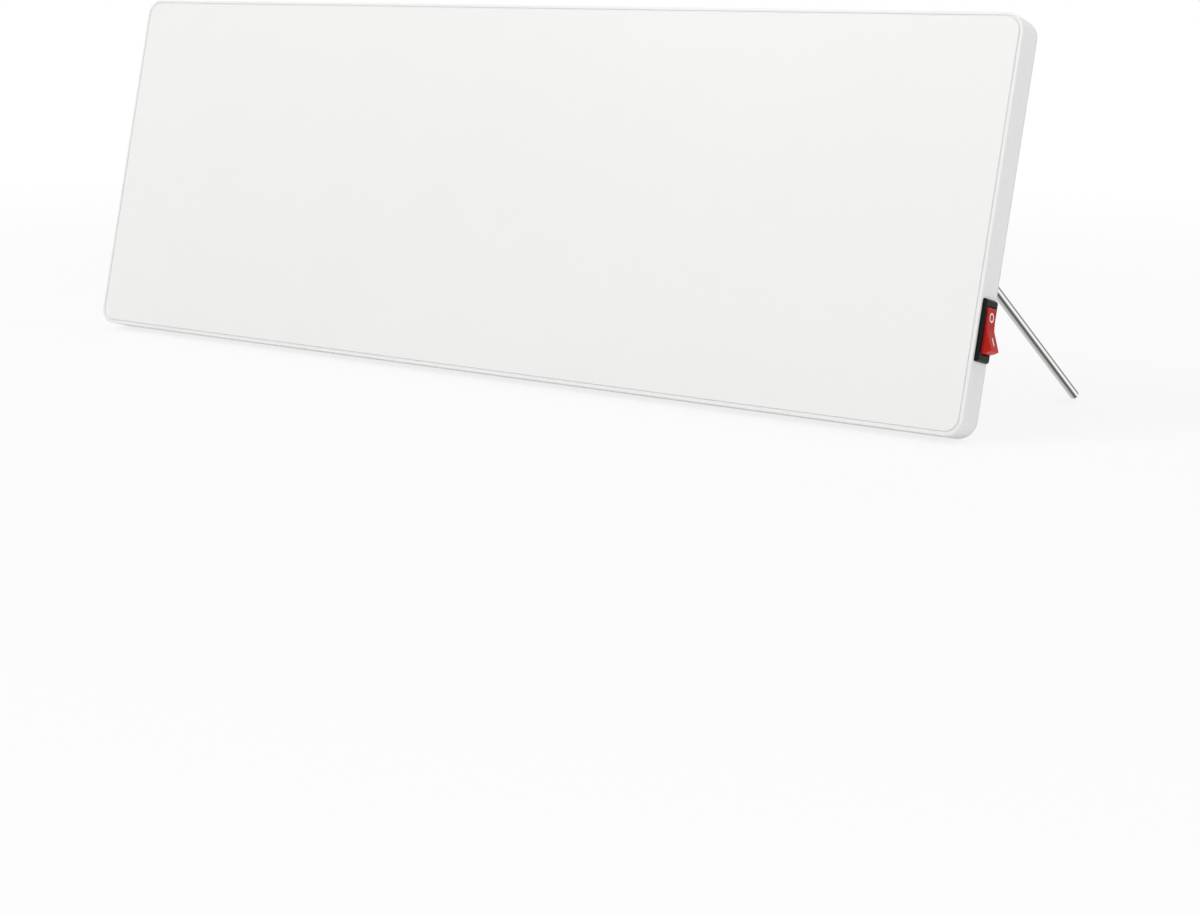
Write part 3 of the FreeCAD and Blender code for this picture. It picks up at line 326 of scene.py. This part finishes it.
def paintedReflectionRod(s):
    # drawn and polished round bar with painted reflection: light and dark bands in its colour along its
    # length, set by which way the surface faces, with fine scratches
    mat, nodes, links, shader = newMaterial("paintedReflectionRod", s["grey"], s["roughness"], 1.0)
    coords = nodes.new("ShaderNodeTexCoord")
    turn = nodes.new("ShaderNodeVectorMath")
    turn.operation = "DOT_PRODUCT"
    turn.inputs[1].default_value = s["facing"]
    links.new(coords.outputs["Normal"], turn.inputs[0])
    span = nodes.new("ShaderNodeMapRange")
    span.inputs["From Min"].default_value = -1.0
    links.new(turn.outputs["Value"], span.inputs["Value"])
    ramp = nodes.new("ShaderNodeValToRGB")
    stops = ramp.color_ramp.elements
    while len(stops) < len(s["bands"]):
        stops.new(1.0)
    for stop, (place, grey) in zip(stops, s["bands"]):
        stop.position = (place + 1) / 2
        stop.color = (*(grey * w for w in s["warmth"]), 1)
    links.new(span.outputs["Result"], ramp.inputs["Fac"])
    # the painted reflection bands become the base colour
    links.new(ramp.outputs["Color"], shader.inputs["Base Color"])
    scratches = noiseNode(nodes, links, *s["scratches"])
    addRoughRange(nodes, links, shader, scratches, *s["gloss"])
    addBump(nodes, links, shader, scratches, *s["bump"])
    return mat


redMoulding = {
    "red": (0.47, 0.016, 0.012),
    "tints": ((0.46, 0.014, 0.010), (0.53, 0.021, 0.014)),
    "drift": (180.0, 2.0),  # scale, detail
    "roughness": 0.32,
    "specular": 0.07,
    "depth": 0.35,  # share of the light that goes in and comes out again
    "depthRadius": (0.004, 0.0006, 0.0004),
}


def rockerRed(s):
    # clear red moulding, lit a little from inside by the pale surfaces round it
    mat, nodes, links, shader = newMaterial("rockerRed", s["red"], s["roughness"], 0.0, s["specular"])
    shader.inputs["Subsurface Weight"].default_value = s["depth"]
    shader.inputs["Subsurface Radius"].default_value = s["depthRadius"]
    shader.inputs["Subsurface Scale"].default_value = 1.0
    drift = noiseNode(nodes, links, *s["drift"])
    addTint(nodes, links, shader, drift, *s["tints"])
    return mat


# colour, colour spread, roughness, grain scale, grain strength, and for one the specular level
mouldedFinishes = {
    "plateCoat": ((0.869, 0.866, 0.854), 0.006, 0.34, 900.0, 0.05),
    "frameWhite": ((0.86, 0.86, 0.855), 0.006, 0.30, 1500.0, 0.04),
    "coverWhite": ((0.79, 0.79, 0.782), 0.01, 0.5, 2600.0, 0.35),
    "switchBlack": ((0.008, 0.008, 0.009), 0.1, 0.36, 2200.0, 0.12, 0.07),
    "markWhite": ((0.85, 0.85, 0.84), 0.02, 0.45, 2000.0, 0.1),
    "glandBlack": ((0.022, 0.022, 0.023), 0.12, 0.42, 1800.0, 0.25),
    "carbonFilm": ((0.03, 0.03, 0.034), 0.15, 0.5, 1200.0, 0.2),
    "fibrePad": ((0.72, 0.67, 0.53), 0.08, 0.95, 500.0, 0.9),
    "siliconeGrey": ((0.62, 0.61, 0.58), 0.04, 0.6, 1200.0, 0.2),
    "nylonWhite": ((0.84, 0.83, 0.79), 0.02, 0.45, 1500.0, 0.15),
    "phenolicBlack": ((0.03, 0.027, 0.024), 0.15, 0.5, 1500.0, 0.2),
    "lampGlass": ((0.86, 0.66, 0.5), 0.03, 0.08, 900.0, 0.03),
    "wireBrown": ((0.22, 0.09, 0.035), 0.06, 0.5, 1500.0, 0.15),
    "wireBlack": ((0.02, 0.02, 0.02), 0.08, 0.5, 1500.0, 0.15),
    "wireBlue": ((0.03, 0.10, 0.42), 0.06, 0.5, 1500.0, 0.15),
    "wireGreen": ((0.18, 0.42, 0.05), 0.06, 0.5, 1500.0, 0.15),
}
# colour, roughness, scale of the drawing lines
metalFinishes = {
    "zincSteel": ((0.43, 0.44, 0.455), 0.28, (400, 2500, 2500)),
    "copper": ((0.72, 0.38, 0.24), 0.28, (300, 2000, 2000)),
    "brass": ((0.76, 0.58, 0.26), 0.28, (300, 2000, 2000)),
    "aluminium": ((0.78, 0.79, 0.80), 0.32, (300, 2000, 2000)),
}
finishes = {name: grainedMaterial(name, *values) for name, values in mouldedFinishes.items()}
finishes.update((name, drawnSteel(name, *values)) for name, values in metalFinishes.items())
finishes["paintedReflectionRod"] = paintedReflectionRod(rodPaintedReflection)
finishes["rockerRed"] = rockerRed(redMoulding)

slotFinish = {
    "frame_white": "frameWhite", "plate_white": "plateCoat", "seal_grey": "siliconeGrey",
    "carbon_film": "carbonFilm", "copper": "copper", "insulation": "fibrePad",
    "cover_white": "coverWhite", "zinc_steel": "zincSteel", "switch_black": "switchBlack",
    "rocker_red": "rockerRed", "mark_white": "markWhite", "plunger_white": "nylonWhite",
    "brass": "brass", "lamp_glass": "lampGlass", "sleeve_clear": "nylonWhite",
    "block_white": "nylonWhite", "cutout_black": "phenolicBlack",
    "silicone": "siliconeGrey", "aluminium": "aluminium", "gland_black": "glandBlack",
    "bright_steel": "paintedReflectionRod", "wire_brown": "wireBrown", "wire_black": "wireBlack",
    "wire_blue": "wireBlue", "wire_green": "wireGreen",
}
slotOf = {s["node"]: s["material_slot"] for s in frame["record"]["subparts"]}
bodyOf = {n: body for body, names in frame["record"]["behaviour"]["bodies"].items() for n in names}
for nodeName, nodeObj in frame["nodes"].items():
    dress(nodeObj, finishes[slotFinish[slotOf[nodeName]]])
print("materials on", len(frame["nodes"]), "nodes")


# pieces drawn finer than the solids they stand for
def addPiece(obj, node, finish):
    dress(obj, finishes[finish])
    flatNormals(obj)
    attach(obj, bodyOf[node])
    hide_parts(node)


frameBand = {
    "lip": 1.5,
    "frontRound": (0.6, 8),  # radius, steps
    "lipRound": (0.25, 4),
    "grooveDepth": 0.6,  # a sealing bead fills the groove up to here
    "grooveEnd": 2.2,
    "ledge": (1.9, 3.5),  # front and back of the ledge under the plate
    "ledgeWidth": 7.0,
    "wall": 2.4,
    "rearRound": (0.2, 3),
    "switchHole": (8.8, 53.0, 12.6, 28.0),  # y, z, width, length
    "switchHoleCorner": (0.3, 2),  # radius, steps
    "glandHole": (9.6, 70.0, 4.62),  # y, z, radius
    "glandHoleSides": 48,
    "cutReach": 9.0,
    "screws": ((-291.0, -145.5, 0.0, 145.5, 291.0), (9.0, 197.0)),  # x places, z places
    "boss": (4.2, 2.7, 13.2),  # radius, foot, top
    "screwHole": (1.52, 4.2),  # radius, where it ends
    "shelf": (-298.8, -241.0, 1.2, 56.0),  # x and z ends of the shelf under the terminals
    "shelfDepth": (3.4, 5.0),
    "shelfSteps": 8,
}


def buildFrame(s):
    seam, wall, inner, groove = panel["coverSeam"], s["wall"], s["ledgeWidth"], s["grooveEnd"]
    front, back = s["ledge"]
    rear, rearSteps = s["rearRound"]
    edge, edgeSteps = s["frontRound"]
    soft, softSteps = s["lipRound"]
    profile = arcPairs(rear, seam - rear, rear, 90, 180, rearSteps)  # inset from the outline, and y
    profile += arcPairs(edge, edge, edge, 180, 270, edgeSteps)
    profile += arcPairs(s["lip"] - soft, soft, soft, 270, 360, softSteps)
    profile += [(s["lip"], s["grooveDepth"]), (groove, s["grooveDepth"]), (groove, front)]
    profile += [(inner, front), (inner, back), (wall, back), (wall, seam)]
    bm = bmesh.new()
    loftLoops(bm, [outlineLoop(inset, y) for inset, y in profile], closed=True)
    obj = meshPiece("frameBand", bm)
    places = [(x, z) for x in s["screws"][0] for z in s["screws"][1]]
    bossRadius, foot, top = s["boss"]
    bosses = roundBars("screwBosses", [((x, foot, z), (x, top, z)) for x, z in places], bossRadius)
    holeRadius, holeEnd = s["screwHole"]
    holes = roundBars("screwHoles", [((x, holeEnd, z), (x, seam, z)) for x, z in places], holeRadius)
    x0, x1, z0, z1 = s["shelf"]
    corner = panel["corner"] - z0
    shelfLoop = arcPairs(x0 + corner, z0 + corner, corner, 180, 270, s["shelfSteps"])
    shelfLoop += [(x1, z0), (x1, z1), (x0, z1)]
    shelf = slabs("terminalShelf", [shelfLoop], *s["shelfDepth"])
    y, z, width, length = s["switchHole"]
    end, reach = panel["width"] / 2, s["cutReach"]
    cutBox = bmesh.new()
    across, along = width / 2, length / 2
    loop = roundedLoop(y - across, y + across, z - along, z + along, *s["switchHoleCorner"])
    blockAlongX(cutBox, loop, end - reach, end + reach)
    switchCut = meshPiece("switchCut", cutBox)
    y, z, radius = s["glandHole"]
    run = ((-end - reach, y, z), (-end + reach, y, z))
    glandCut = roundBars("glandCut", [run], radius, s["glandHoleSides"])
    combine(obj, [bosses, shelf], [holes, switchCut, glandCut])
    addPiece(obj, "frame", "frameWhite")


switchBezel = {
    "y": 8.8,
    "z": 53.0,
    "outer": (14.0, 30.6, 1.1),  # width, length, corner
    "opening": (9.6, 23.4, 0.3),
    "body": (12.2, 27.6, 0.4),
    "leastCorner": 0.2,
    "cornerSteps": 6,
    "top": 302.0,
    "seat": 300.0,
    "floor": 284.5,
    "back": 282.5,
    "innerRound": (0.25, 4),  # radius, steps
    "bevel": (  # inset, drop
        (1.1, 0.0), (0.9, 0.04), (0.75, 0.13), (0.2, 0.68), (0.06, 0.85), (0.0, 1.05),
    ),
    "clip": (297.3, 291.3, 0.9, 6.0),  # thick end, thin end, how far it stands out, width
    "clipRoot": 0.3,
    "socket": (300.4, 1.25, 5.8),  # x, radius, half length, for the rocker's stub axles
    "tabSlots": (-8.0, 0.0, 8.0),
    "tabSlot": (4.8, 0.8),  # width, thickness
}


def buildBezel(s):
    def loop(size, grow, x):
        width, length, corner = size
        across, along = width / 2 + grow, length / 2 + grow
        corner = max(corner + grow, s["leastCorner"])
        points = roundedLoop(y - across, y + across, z - along, z + along, corner, s["cornerSteps"])
        return [Vector((x, a, b)) for a, b in points]

    y, z, root = s["y"], s["z"], s["clipRoot"]
    r, steps = s["innerRound"]
    loops = [loop(s["opening"], 0, s["floor"])]
    for dx, dy in arcPairs(0, 0, r, 180, 90, steps):
        loops.append(loop(s["opening"], r + dx, s["top"] - r + dy))
    loops += [loop(s["outer"], -inset, s["top"] - drop) for inset, drop in s["bevel"]]
    loops += [loop(s["outer"], 0, s["seat"]), loop(s["body"], 0, s["seat"])]
    loops += [loop(s["body"], 0, s["back"])]
    bm = bmesh.new()
    loftLoops(bm, loops, capFirst=True, capLast=True)
    obj = meshPiece("switchBezel", bm)
    thick, thin, out, width = s["clip"]
    clipLoops = []
    for side in (-1, 1):
        end = z + side * s["body"][1] / 2
        under, proud = end - side * root, end + side * out
        clipLoops.append([(thick, under), (thick, proud), (thin, end), (thin, under)])
    clips = slabs("switchClips", clipLoops, y - width / 2, y + width / 2)
    x, radius, half = s["socket"]
    sockets = roundBars("axleSockets", [((x, y - half, z), (x, y + half, z))], radius)
    width, thickness = s["tabSlot"]
    x0, x1 = s["back"] - root, s["floor"] + root
    slotLoops = []
    for step in s["tabSlots"]:
        z0, z1 = z + step - thickness / 2, z + step + thickness / 2
        slotLoops.append([(x0, z0), (x1, z0), (x1, z1), (x0, z1)])
    slots = slabs("tabSlots", slotLoops, y - width / 2, y + width / 2)
    combine(obj, [clips], [sockets, slots])
    addPiece(obj, "switch_housing", "switchBlack")


rocker = {
    "pivot": (300.4, 8.8, 53.0),
    "radius": 11.4,
    "width": 9.0,
    "valley": 2.8,
    "valleyRound": (1.2, 4),  # reach, steps either side
    "skirt": 2.5,
    "faceAngle": 9.0,
    "restTilt": -13.0,
    "endSteps": 14,
    "solveRounds": 30,
    "edgeRound": (0.35, 4),  # radius, steps
    "edgeAngle": 35,  # edges that turn more than this are rounded
    "axle": (1.2, 5.65),  # radius, half length
    "seat": (2.7, 1.65, 2.75),  # outer radius, bore, depth either side of the skirt's end
    "markOffset": 6.0,
    "markRadius": 2.0,
    "markLine": 0.8,
    "markSides": 48,
    "barLine": 1.1,
    "barRound": (0.2, 4),  # radius, steps
    "markDepth": 0.3,
    "markProud": 0.03,
}


def turnAbout(point, angle):
    # a turn about the rocker's own way of tilting, through a point
    return Matrix.Translation(point) @ Matrix.Rotation(angle, 4, "Y") @ Matrix.Translation(-point)


def rockerTurn(s):
    return turnAbout(Vector(s["pivot"]), math.radians(s["restTilt"]))


def rockerOutline(s):
    # the rocker's side view about its pivot: along it, and out of the switch
    slope = math.tan(math.radians(s["faceAngle"]))
    radius, valley = s["radius"], s["valley"]
    reach = radius
    for _ in range(s["solveRounds"]):
        reach = math.sqrt(radius ** 2 - (valley + reach * slope) ** 2)
    top = math.degrees(math.atan2(valley + reach * slope, reach))
    low = -math.degrees(math.asin(s["skirt"] / radius))
    soft, steps = s["valleyRound"]
    dip = []
    for k in range(-steps, steps + 1):
        t = k / steps
        dip.append((t * soft, valley + slope * soft * (0.5 + 0.5 * t ** 2)))
    right = arcPairs(0, 0, radius, top, low, s["endSteps"])
    left = [(-a, b) for a, b in reversed(right)]
    return dip + right + left


def buildRocker(s):
    px, py, pz = s["pivot"]
    outline = rockerOutline(s)
    edge, edgeSteps = s["edgeRound"]
    bm = bmesh.new()
    faces = (py - s["width"] / 2, py + s["width"] / 2)
    rows = [[Vector((px + h, y, pz + a)) for a, h in outline] for y in faces]
    loftLoops(bm, rows, capFirst=True, capLast=True)
    bmesh.ops.recalc_face_normals(bm, faces=bm.faces)
    sharp = [e for e in bm.edges if e.calc_face_angle() > math.radians(s["edgeAngle"])]
    bmesh.ops.bevel(bm, geom=sharp, offset=edge, segments=edgeSteps, profile=0.5, affect="EDGES",
                    clamp_overlap=True)
    turn = rockerTurn(s)
    bm.transform(turn)
    obj = meshPiece("rockerCap", bm)
    axleRadius, half = s["axle"]
    axle = roundBars("rockerAxle", [((px, py - half, pz), (px, py + half, pz))], axleRadius)
    seatRadius, bore, depth = s["seat"]
    skirtEnd = px - s["skirt"]
    low, mouth, high = (turn @ Vector((skirtEnd + d, py, pz)) for d in (-depth, edge, depth))
    seat = roundBars("plungerSeat", [(low, mouth)], seatRadius)
    seatBore = roundBars("plungerBore", [(low - (high - low), high)], bore)
    combine(obj, [axle, seat], [seatBore])
    addPiece(obj, "switch_rocker", "rockerRed")


def buildMarks(s):
    # a ring on one half of the face and a bar on the other, let into it
    px, py, pz = s["pivot"]
    valley = Vector((px + s["valley"], py, pz))
    low, high = valley.x - s["markDepth"], valley.x + s["markProud"]
    radius, half = s["markRadius"], s["markLine"] / 2
    lean = math.radians(s["faceAngle"])
    bm = bmesh.new()
    rows = []
    inner, outer = radius - half, radius + half
    for r, x in ((inner, low), (inner, high), (outer, high), (outer, low)):
        circle = circlePairs(py, pz + s["markOffset"], r, s["markSides"])
        rows.append([Vector((x, a, b)) for a, b in circle])
    loftLoops(bm, rows, closed=True)
    bm.transform(turnAbout(valley, lean))
    ringCount = len(bm.verts)
    half, centre = s["barLine"] / 2, pz - s["markOffset"]
    loop = roundedLoop(py - half, py + half, centre - radius, centre + radius, *s["barRound"])
    blockAlongX(bm, loop, low, high)
    bmesh.ops.transform(bm, matrix=turnAbout(valley, -lean), verts=list(bm.verts)[ringCount:])
    bm.transform(rockerTurn(s))
    addPiece(meshPiece("rockerMarks", bm), "rocker_marks", "markWhite")


rodLeg = {
    "pinTop": 124.0,
    "bendZ": 93.6,
    "length": 149.7,
    "angle": 67.5,
    "splay": 5.0,
    "radius": 2.5,
    "bendRadius": 6.0,
    "bendSteps": 20,
    "ringGroove": (105.3, 104.3, 2.05),  # top, bottom, radius
    "pinRound": (0.4, 4),  # radius, steps
    "tipRound": (0.8, 6),
    "sides": 56,
    "smoothAngle": 50,
}


def buildLeg(s, side, node):
    px, py, _ = panel["legPin"]
    radius, bend = s["radius"], s["bendRadius"]
    lean, turn = math.radians(s["angle"]), math.radians(s["splay"])
    out = Vector((math.sin(turn) * math.sin(lean), math.cos(turn) * math.sin(lean), -math.cos(lean)))
    up = Vector((0, 0, 1))
    corner = Vector((px, py, s["bendZ"]))
    half = up.angle(out) / 2
    cut = bend / math.tan(half)
    centre = corner + (up + out).normalized() * (bend / math.sin(half))
    start = corner + up * cut - centre
    finish = corner + out * cut - centre
    points, radii = [], []

    def put(point, r):
        points.append(point)
        radii.append(r)

    top = Vector((px, py, s["pinTop"]))
    soft, steps = s["pinRound"]
    for grow, rise in arcPairs(0, 0, soft, 90, 0, steps):
        put(top + up * (rise - soft), radius - soft + grow)
    high, low, grooveRadius = s["ringGroove"]
    for z, r in ((high, radius), (high, grooveRadius), (low, grooveRadius), (low, radius)):
        put(Vector((px, py, z)), r)
    for i in range(s["bendSteps"] + 1):
        put(centre + start.slerp(finish, i / s["bendSteps"]) * bend, radius)
    tip = corner + out * s["length"]
    soft, steps = s["tipRound"]
    for grow, rise in arcPairs(0, 0, soft, 0, 90, steps):
        put(tip + out * (rise - soft), radius - soft + grow)
    bm = bmesh.new()
    tubeAlong(bm, points, radii, s["sides"])
    if side < 0:
        bm.transform(Matrix.Scale(-1, 4, (1, 0, 0)))
    # the rod wears the painted reflection bands
    addPiece(meshPiece(node + "Rod", bm, s["smoothAngle"]), node, "paintedReflectionRod")


easedPlate = {
    "shoulder": 0.3,  # how far along its bevel the edge turns
    "holeSides": 40,
    "smoothAngle": 30,
}


def platePiece(name, outline, holes, y0, y1, bevel):
    # flat plate with eased edges: outline(inset) gives its loop
    # each hole is x, z and the radius at either face
    turn = bevel * easedPlate["shoulder"]
    levels = ((bevel, y0), (turn, y0 + turn), (0, y0 + bevel),
              (0, y1 - bevel), (turn, y1 - turn), (bevel, y1))
    bm = bmesh.new()
    rims = {y0: [], y1: []}

    def wall(loopAt):
        rows = [[bm.verts.new((a, y, b)) for a, b in loopAt(inset, y)] for inset, y in levels]
        for a, b in zip(rows, rows[1:]):
            for i in range(len(a)):
                j = (i + 1) % len(a)
                bm.faces.new((a[i], a[j], b[j], b[i]))
        for row, y in ((rows[0], y0), (rows[-1], y1)):
            rims[y] += [bm.edges.get((row[i], row[(i + 1) % len(row)])) for i in range(len(row))]

    wall(lambda inset, y: outline(inset))
    for x, z, lowRadius, highRadius in holes:
        def hole(inset, y):
            radius = lowRadius + (highRadius - lowRadius) * (y - y0) / (y1 - y0)
            return circlePairs(x, z, radius + inset, easedPlate["holeSides"])
        wall(hole)
    for y in (y0, y1):
        bmesh.ops.triangle_fill(bm, use_beauty=True, edges=rims[y])
    return meshPiece(name, bm, easedPlate["smoothAngle"])


strap = {
    "z": 113.6,
    "length": 36.0,
    "width": 12.0,
    "corner": 3.0,
    "cornerSteps": 8,
    "faces": (16.35, 17.95),  # y of its front and back
    "bevel": 0.25,
    "screwPitch": 26.0,
    "hole": (1.45, 2.75),  # radius at the front and at the back
}


def buildStrap(s, side, node):
    x, z = side * panel["legPin"][0], s["z"]

    def outline(inset):
        along, across = s["length"] / 2 - inset, s["width"] / 2 - inset
        corner = s["corner"] - inset
        return roundedLoop(x - along, x + along, z - across, z + across, corner, s["cornerSteps"])

    holes = [(x + end * s["screwPitch"] / 2, z, *s["hole"]) for end in (-1, 1)]
    addPiece(platePiece(node + "Plate", outline, holes, *s["faces"], s["bevel"]), node, "zincSteel")


ear = {
    "x": 285.0,
    "pivotZ": 138.0,
    "width": 26.0,
    "reach": 26.0,
    "corner": 6.0,
    "cornerSteps": 10,
    "roundSteps": 30,
    "faces": (18.5, 20.0),  # y of its front and back
    "bevel": 0.22,
    "hole": (20.5, 2.2),  # distance from the pivot, radius
    "pivotRadius": 2.05,
}


def buildEar(s, side, node):
    x, z, half = side * s["x"], s["pivotZ"], s["width"] / 2

    def outline(inset):
        corner, steps = s["corner"], s["cornerSteps"]
        across, top, r = half - corner, z + s["reach"] - corner, corner - inset
        loop = arcPairs(x + across, top, r, 0, 90, steps) + arcPairs(x - across, top, r, 90, 180, steps)
        return loop + arcPairs(x, z, half - inset, 180, 360, s["roundSteps"])

    away, radius = s["hole"]
    holes = [(x, z, s["pivotRadius"], s["pivotRadius"]), (x, z + away, radius, radius)]
    addPiece(platePiece(node + "Plate", outline, holes, *s["faces"], s["bevel"]), node, "zincSteel")


gland = {
    "y": 9.6,
    "z": 70.0,
    "end": -300.0,
    "flange": (6.2, 1.6),  # radius, height
    "flangeRound": (0.4, 4),  # radius, steps
    "dome": (4.6, 4.2, 2.4),  # foot radius, top radius, height
    "domeRound": (0.7, 5),
    "domeStart": 10,  # degrees at which the dome's round begins
    "domeFoot": (0.05, 0.3),  # how far the foot spreads, and how high
    "bore": 3.3,
    "boreRound": 0.15,
    "shank": (4.6, 11.0),  # radius, length
    "sides": 140,
    "flutes": 14,
    "fluteDepth": 0.22,
}


def buildGland(s):
    radius, height = s["flange"]
    soft, softSteps = s["flangeRound"]
    foot, top, rise = s["dome"]
    domeSoft, domeSteps = s["domeRound"]
    spread, footRise = s["domeFoot"]
    shank, long = s["shank"]
    bore, boreSoft = s["bore"], s["boreRound"]
    face = height + rise
    rows = [(bore, -long, 0), (shank, -long, 0), (shank, 0, 0), (radius, 0, 0)]  # radius, out, fluted
    for a, b in arcPairs(0, 0, soft, 0, 90, softSteps):
        rows.append((radius - soft + a, height - soft + b, 0))
    rows += [(foot + spread, height, 0), (foot, height + footRise, 1), (top + spread, face - domeSoft, 1)]
    for a, b in arcPairs(0, 0, domeSoft, s["domeStart"], 90, domeSteps):
        rows.append((top - domeSoft + a, face - domeSoft + b, 0))
    rows += [(bore + boreSoft, face, 0), (bore, face - boreSoft, 0)]
    loops = []
    for rowRadius, out, fluted in rows:
        loop = []
        for k in range(s["sides"]):
            a = 2 * math.pi * k / s["sides"]
            r = rowRadius - s["fluteDepth"] * fluted * max(math.cos(a * s["flutes"]), 0)
            loop.append(Vector((s["end"] - out, s["y"] + r * math.cos(a), s["z"] + r * math.sin(a))))
        loops.append(loop)
    bm = bmesh.new()
    loftLoops(bm, loops, closed=True)
    addPiece(meshPiece("glandBody", bm), "cord_gland", "glandBlack")


buildFrame(frameBand)
buildBezel(switchBezel)
buildRocker(rocker)
buildMarks(rocker)
for side, name in ((1, "right"), (-1, "left")):
    buildLeg(rodLeg, side, name + "_leg")
    buildStrap(strap, side, name + "_leg_strap")
    buildEar(ear, side, name + "_ear")
buildGland(gland)
print("fine pieces built")

# camera at the photograph's angle
cameraView = {
    "place": (0.74905, -1.00840, 0.20950),
    "yaw": 35.357,
    "pitch": -12.011,
    "roll": 0.59,
    "lens": 65.2,
    "sensor": 36,
    "clipEnd": 60,
}


def addCamera(s):
    yaw, pitch, roll = (math.radians(s[k]) for k in ("yaw", "pitch", "roll"))
    ahead = Vector((-math.sin(yaw) * math.cos(pitch), math.cos(yaw) * math.cos(pitch), math.sin(pitch)))
    level = ahead.cross(Vector((0, 0, 1))).normalized()
    over = level.cross(ahead)
    right = level * math.cos(roll) + over * math.sin(roll)
    up = over * math.cos(roll) - level * math.sin(roll)
    data = bpy.data.cameras.new("photoCamera")
    data.sensor_width = s["sensor"]
    data.lens = s["lens"]
    data.clip_end = s["clipEnd"]
    cam = bpy.data.objects.new("photoCamera", data)
    turn = Matrix((right, up, -ahead)).transposed().to_4x4()
    cam.matrix_world = Matrix.Translation(Vector(s["place"])) @ turn
    bpy.context.collection.objects.link(cam)
    bpy.context.scene.camera = cam


addCamera(cameraView)

# studio: pale floor, white surround, soft lamps
studio = {
    "floorSize": 14.0,
    "floorDrop": 0.0002,
    "floorColour": (0.9, 0.9, 0.9),
    "floorRoughness": 0.9,
    "floorSpecular": 0.1,
    "floorGlow": 0.80,  # share of plain white seen near the heater, rising to all of it further off
    "glowSpan": (0.45, 1.4),
    "worldLight": 0.56,
    "lamps": (
        ("keyLamp", (-1.3, -1.9, 2.1), (1.6, 1.6), 30.0),  # place, width and height, power
        ("fillLamp", (1.9, -1.5, 0.7), (1.5, 1.0), 9.0),
        ("rearLamp", (-0.6, 2.2, 1.9), (1.6, 1.6), 7.0),
        ("topLamp", (0.9, 0.9, 2.3), (1.0, 1.0), 6.5),
    ),
    "aim": (0.0, 0.0, 0.1),
}


def surroundRays(nodes, links):
    # 1 where the camera, a mirror or a clear body looks straight at the surround
    path = nodes.new("ShaderNodeLightPath")
    first = nodes.new("ShaderNodeMath")
    first.operation = "MAXIMUM"
    links.new(path.outputs["Is Camera Ray"], first.inputs[0])
    links.new(path.outputs["Is Glossy Ray"], first.inputs[1])
    both = nodes.new("ShaderNodeMath")
    both.operation = "MAXIMUM"
    links.new(first.outputs[0], both.inputs[0])
    links.new(path.outputs["Is Transmission Ray"], both.inputs[1])
    return both.outputs[0]


def addFloor(s):
    bm = bmesh.new()
    bmesh.ops.create_grid(bm, x_segments=2, y_segments=2, size=s["floorSize"] / 2)
    mesh = bpy.data.meshes.new("studioFloor")
    bm.to_mesh(mesh)
    bm.free()
    floor = bpy.data.objects.new("studioFloor", mesh)
    floor.location = (0, 0, -s["floorDrop"])
    bpy.context.collection.objects.link(floor)
    paper = newMaterial("floorPaper", s["floorColour"], s["floorRoughness"], 0.0, s["floorSpecular"])
    mat, nodes, links, shader = paper
    glow = nodes.new("ShaderNodeEmission")
    glow.inputs["Color"].default_value = (1, 1, 1, 1)
    mix = nodes.new("ShaderNodeMixShader")
    coords = nodes.new("ShaderNodeTexCoord")
    away = nodes.new("ShaderNodeVectorMath")
    away.operation = "LENGTH"
    links.new(coords.outputs["Object"], away.inputs[0])
    level = nodes.new("ShaderNodeMapRange")
    level.interpolation_type = "SMOOTHSTEP"
    level.inputs["From Min"].default_value, level.inputs["From Max"].default_value = s["glowSpan"]
    level.inputs["To Min"].default_value = s["floorGlow"]
    level.inputs["To Max"].default_value = 1.0
    links.new(away.outputs["Value"], level.inputs["Value"])
    share = nodes.new("ShaderNodeMath")
    share.operation = "MULTIPLY"
    links.new(surroundRays(nodes, links), share.inputs[0])
    links.new(level.outputs["Result"], share.inputs[1])
    links.new(share.outputs[0], mix.inputs["Fac"])
    links.new(shader.outputs[0], mix.inputs[1])
    links.new(glow.outputs[0], mix.inputs[2])
    links.new(mix.outputs[0], nodes["Material Output"].inputs["Surface"])
    dress(floor, mat)


def addWorld(s):
    world = bpy.data.worlds.new("studioWorld")
    bpy.context.scene.world = world
    world.use_nodes = True
    nodes, links = world.node_tree.nodes, world.node_tree.links
    back = nodes["Background"]
    back.inputs["Color"].default_value = (1, 1, 1, 1)
    level = nodes.new("ShaderNodeMapRange")
    level.inputs["To Min"].default_value = s["worldLight"]
    level.inputs["To Max"].default_value = 1.0
    links.new(surroundRays(nodes, links), level.inputs["Value"])
    links.new(level.outputs["Result"], back.inputs["Strength"])


def addLamps(s):
    for name, place, size, power in s["lamps"]:
        data = bpy.data.lights.new(name, "AREA")
        data.shape = "RECTANGLE"
        data.size, data.size_y = size
        data.energy = power
        lamp = bpy.data.objects.new(name, data)
        lamp.location = place
        lamp.rotation_euler = (Vector(s["aim"]) - Vector(place)).to_track_quat("-Z", "Y").to_euler()
        bpy.context.collection.objects.link(lamp)


addFloor(studio)
addWorld(studio)
addLamps(studio)
bpy.context.scene.view_settings.view_transform = "Standard"
print("studio set")
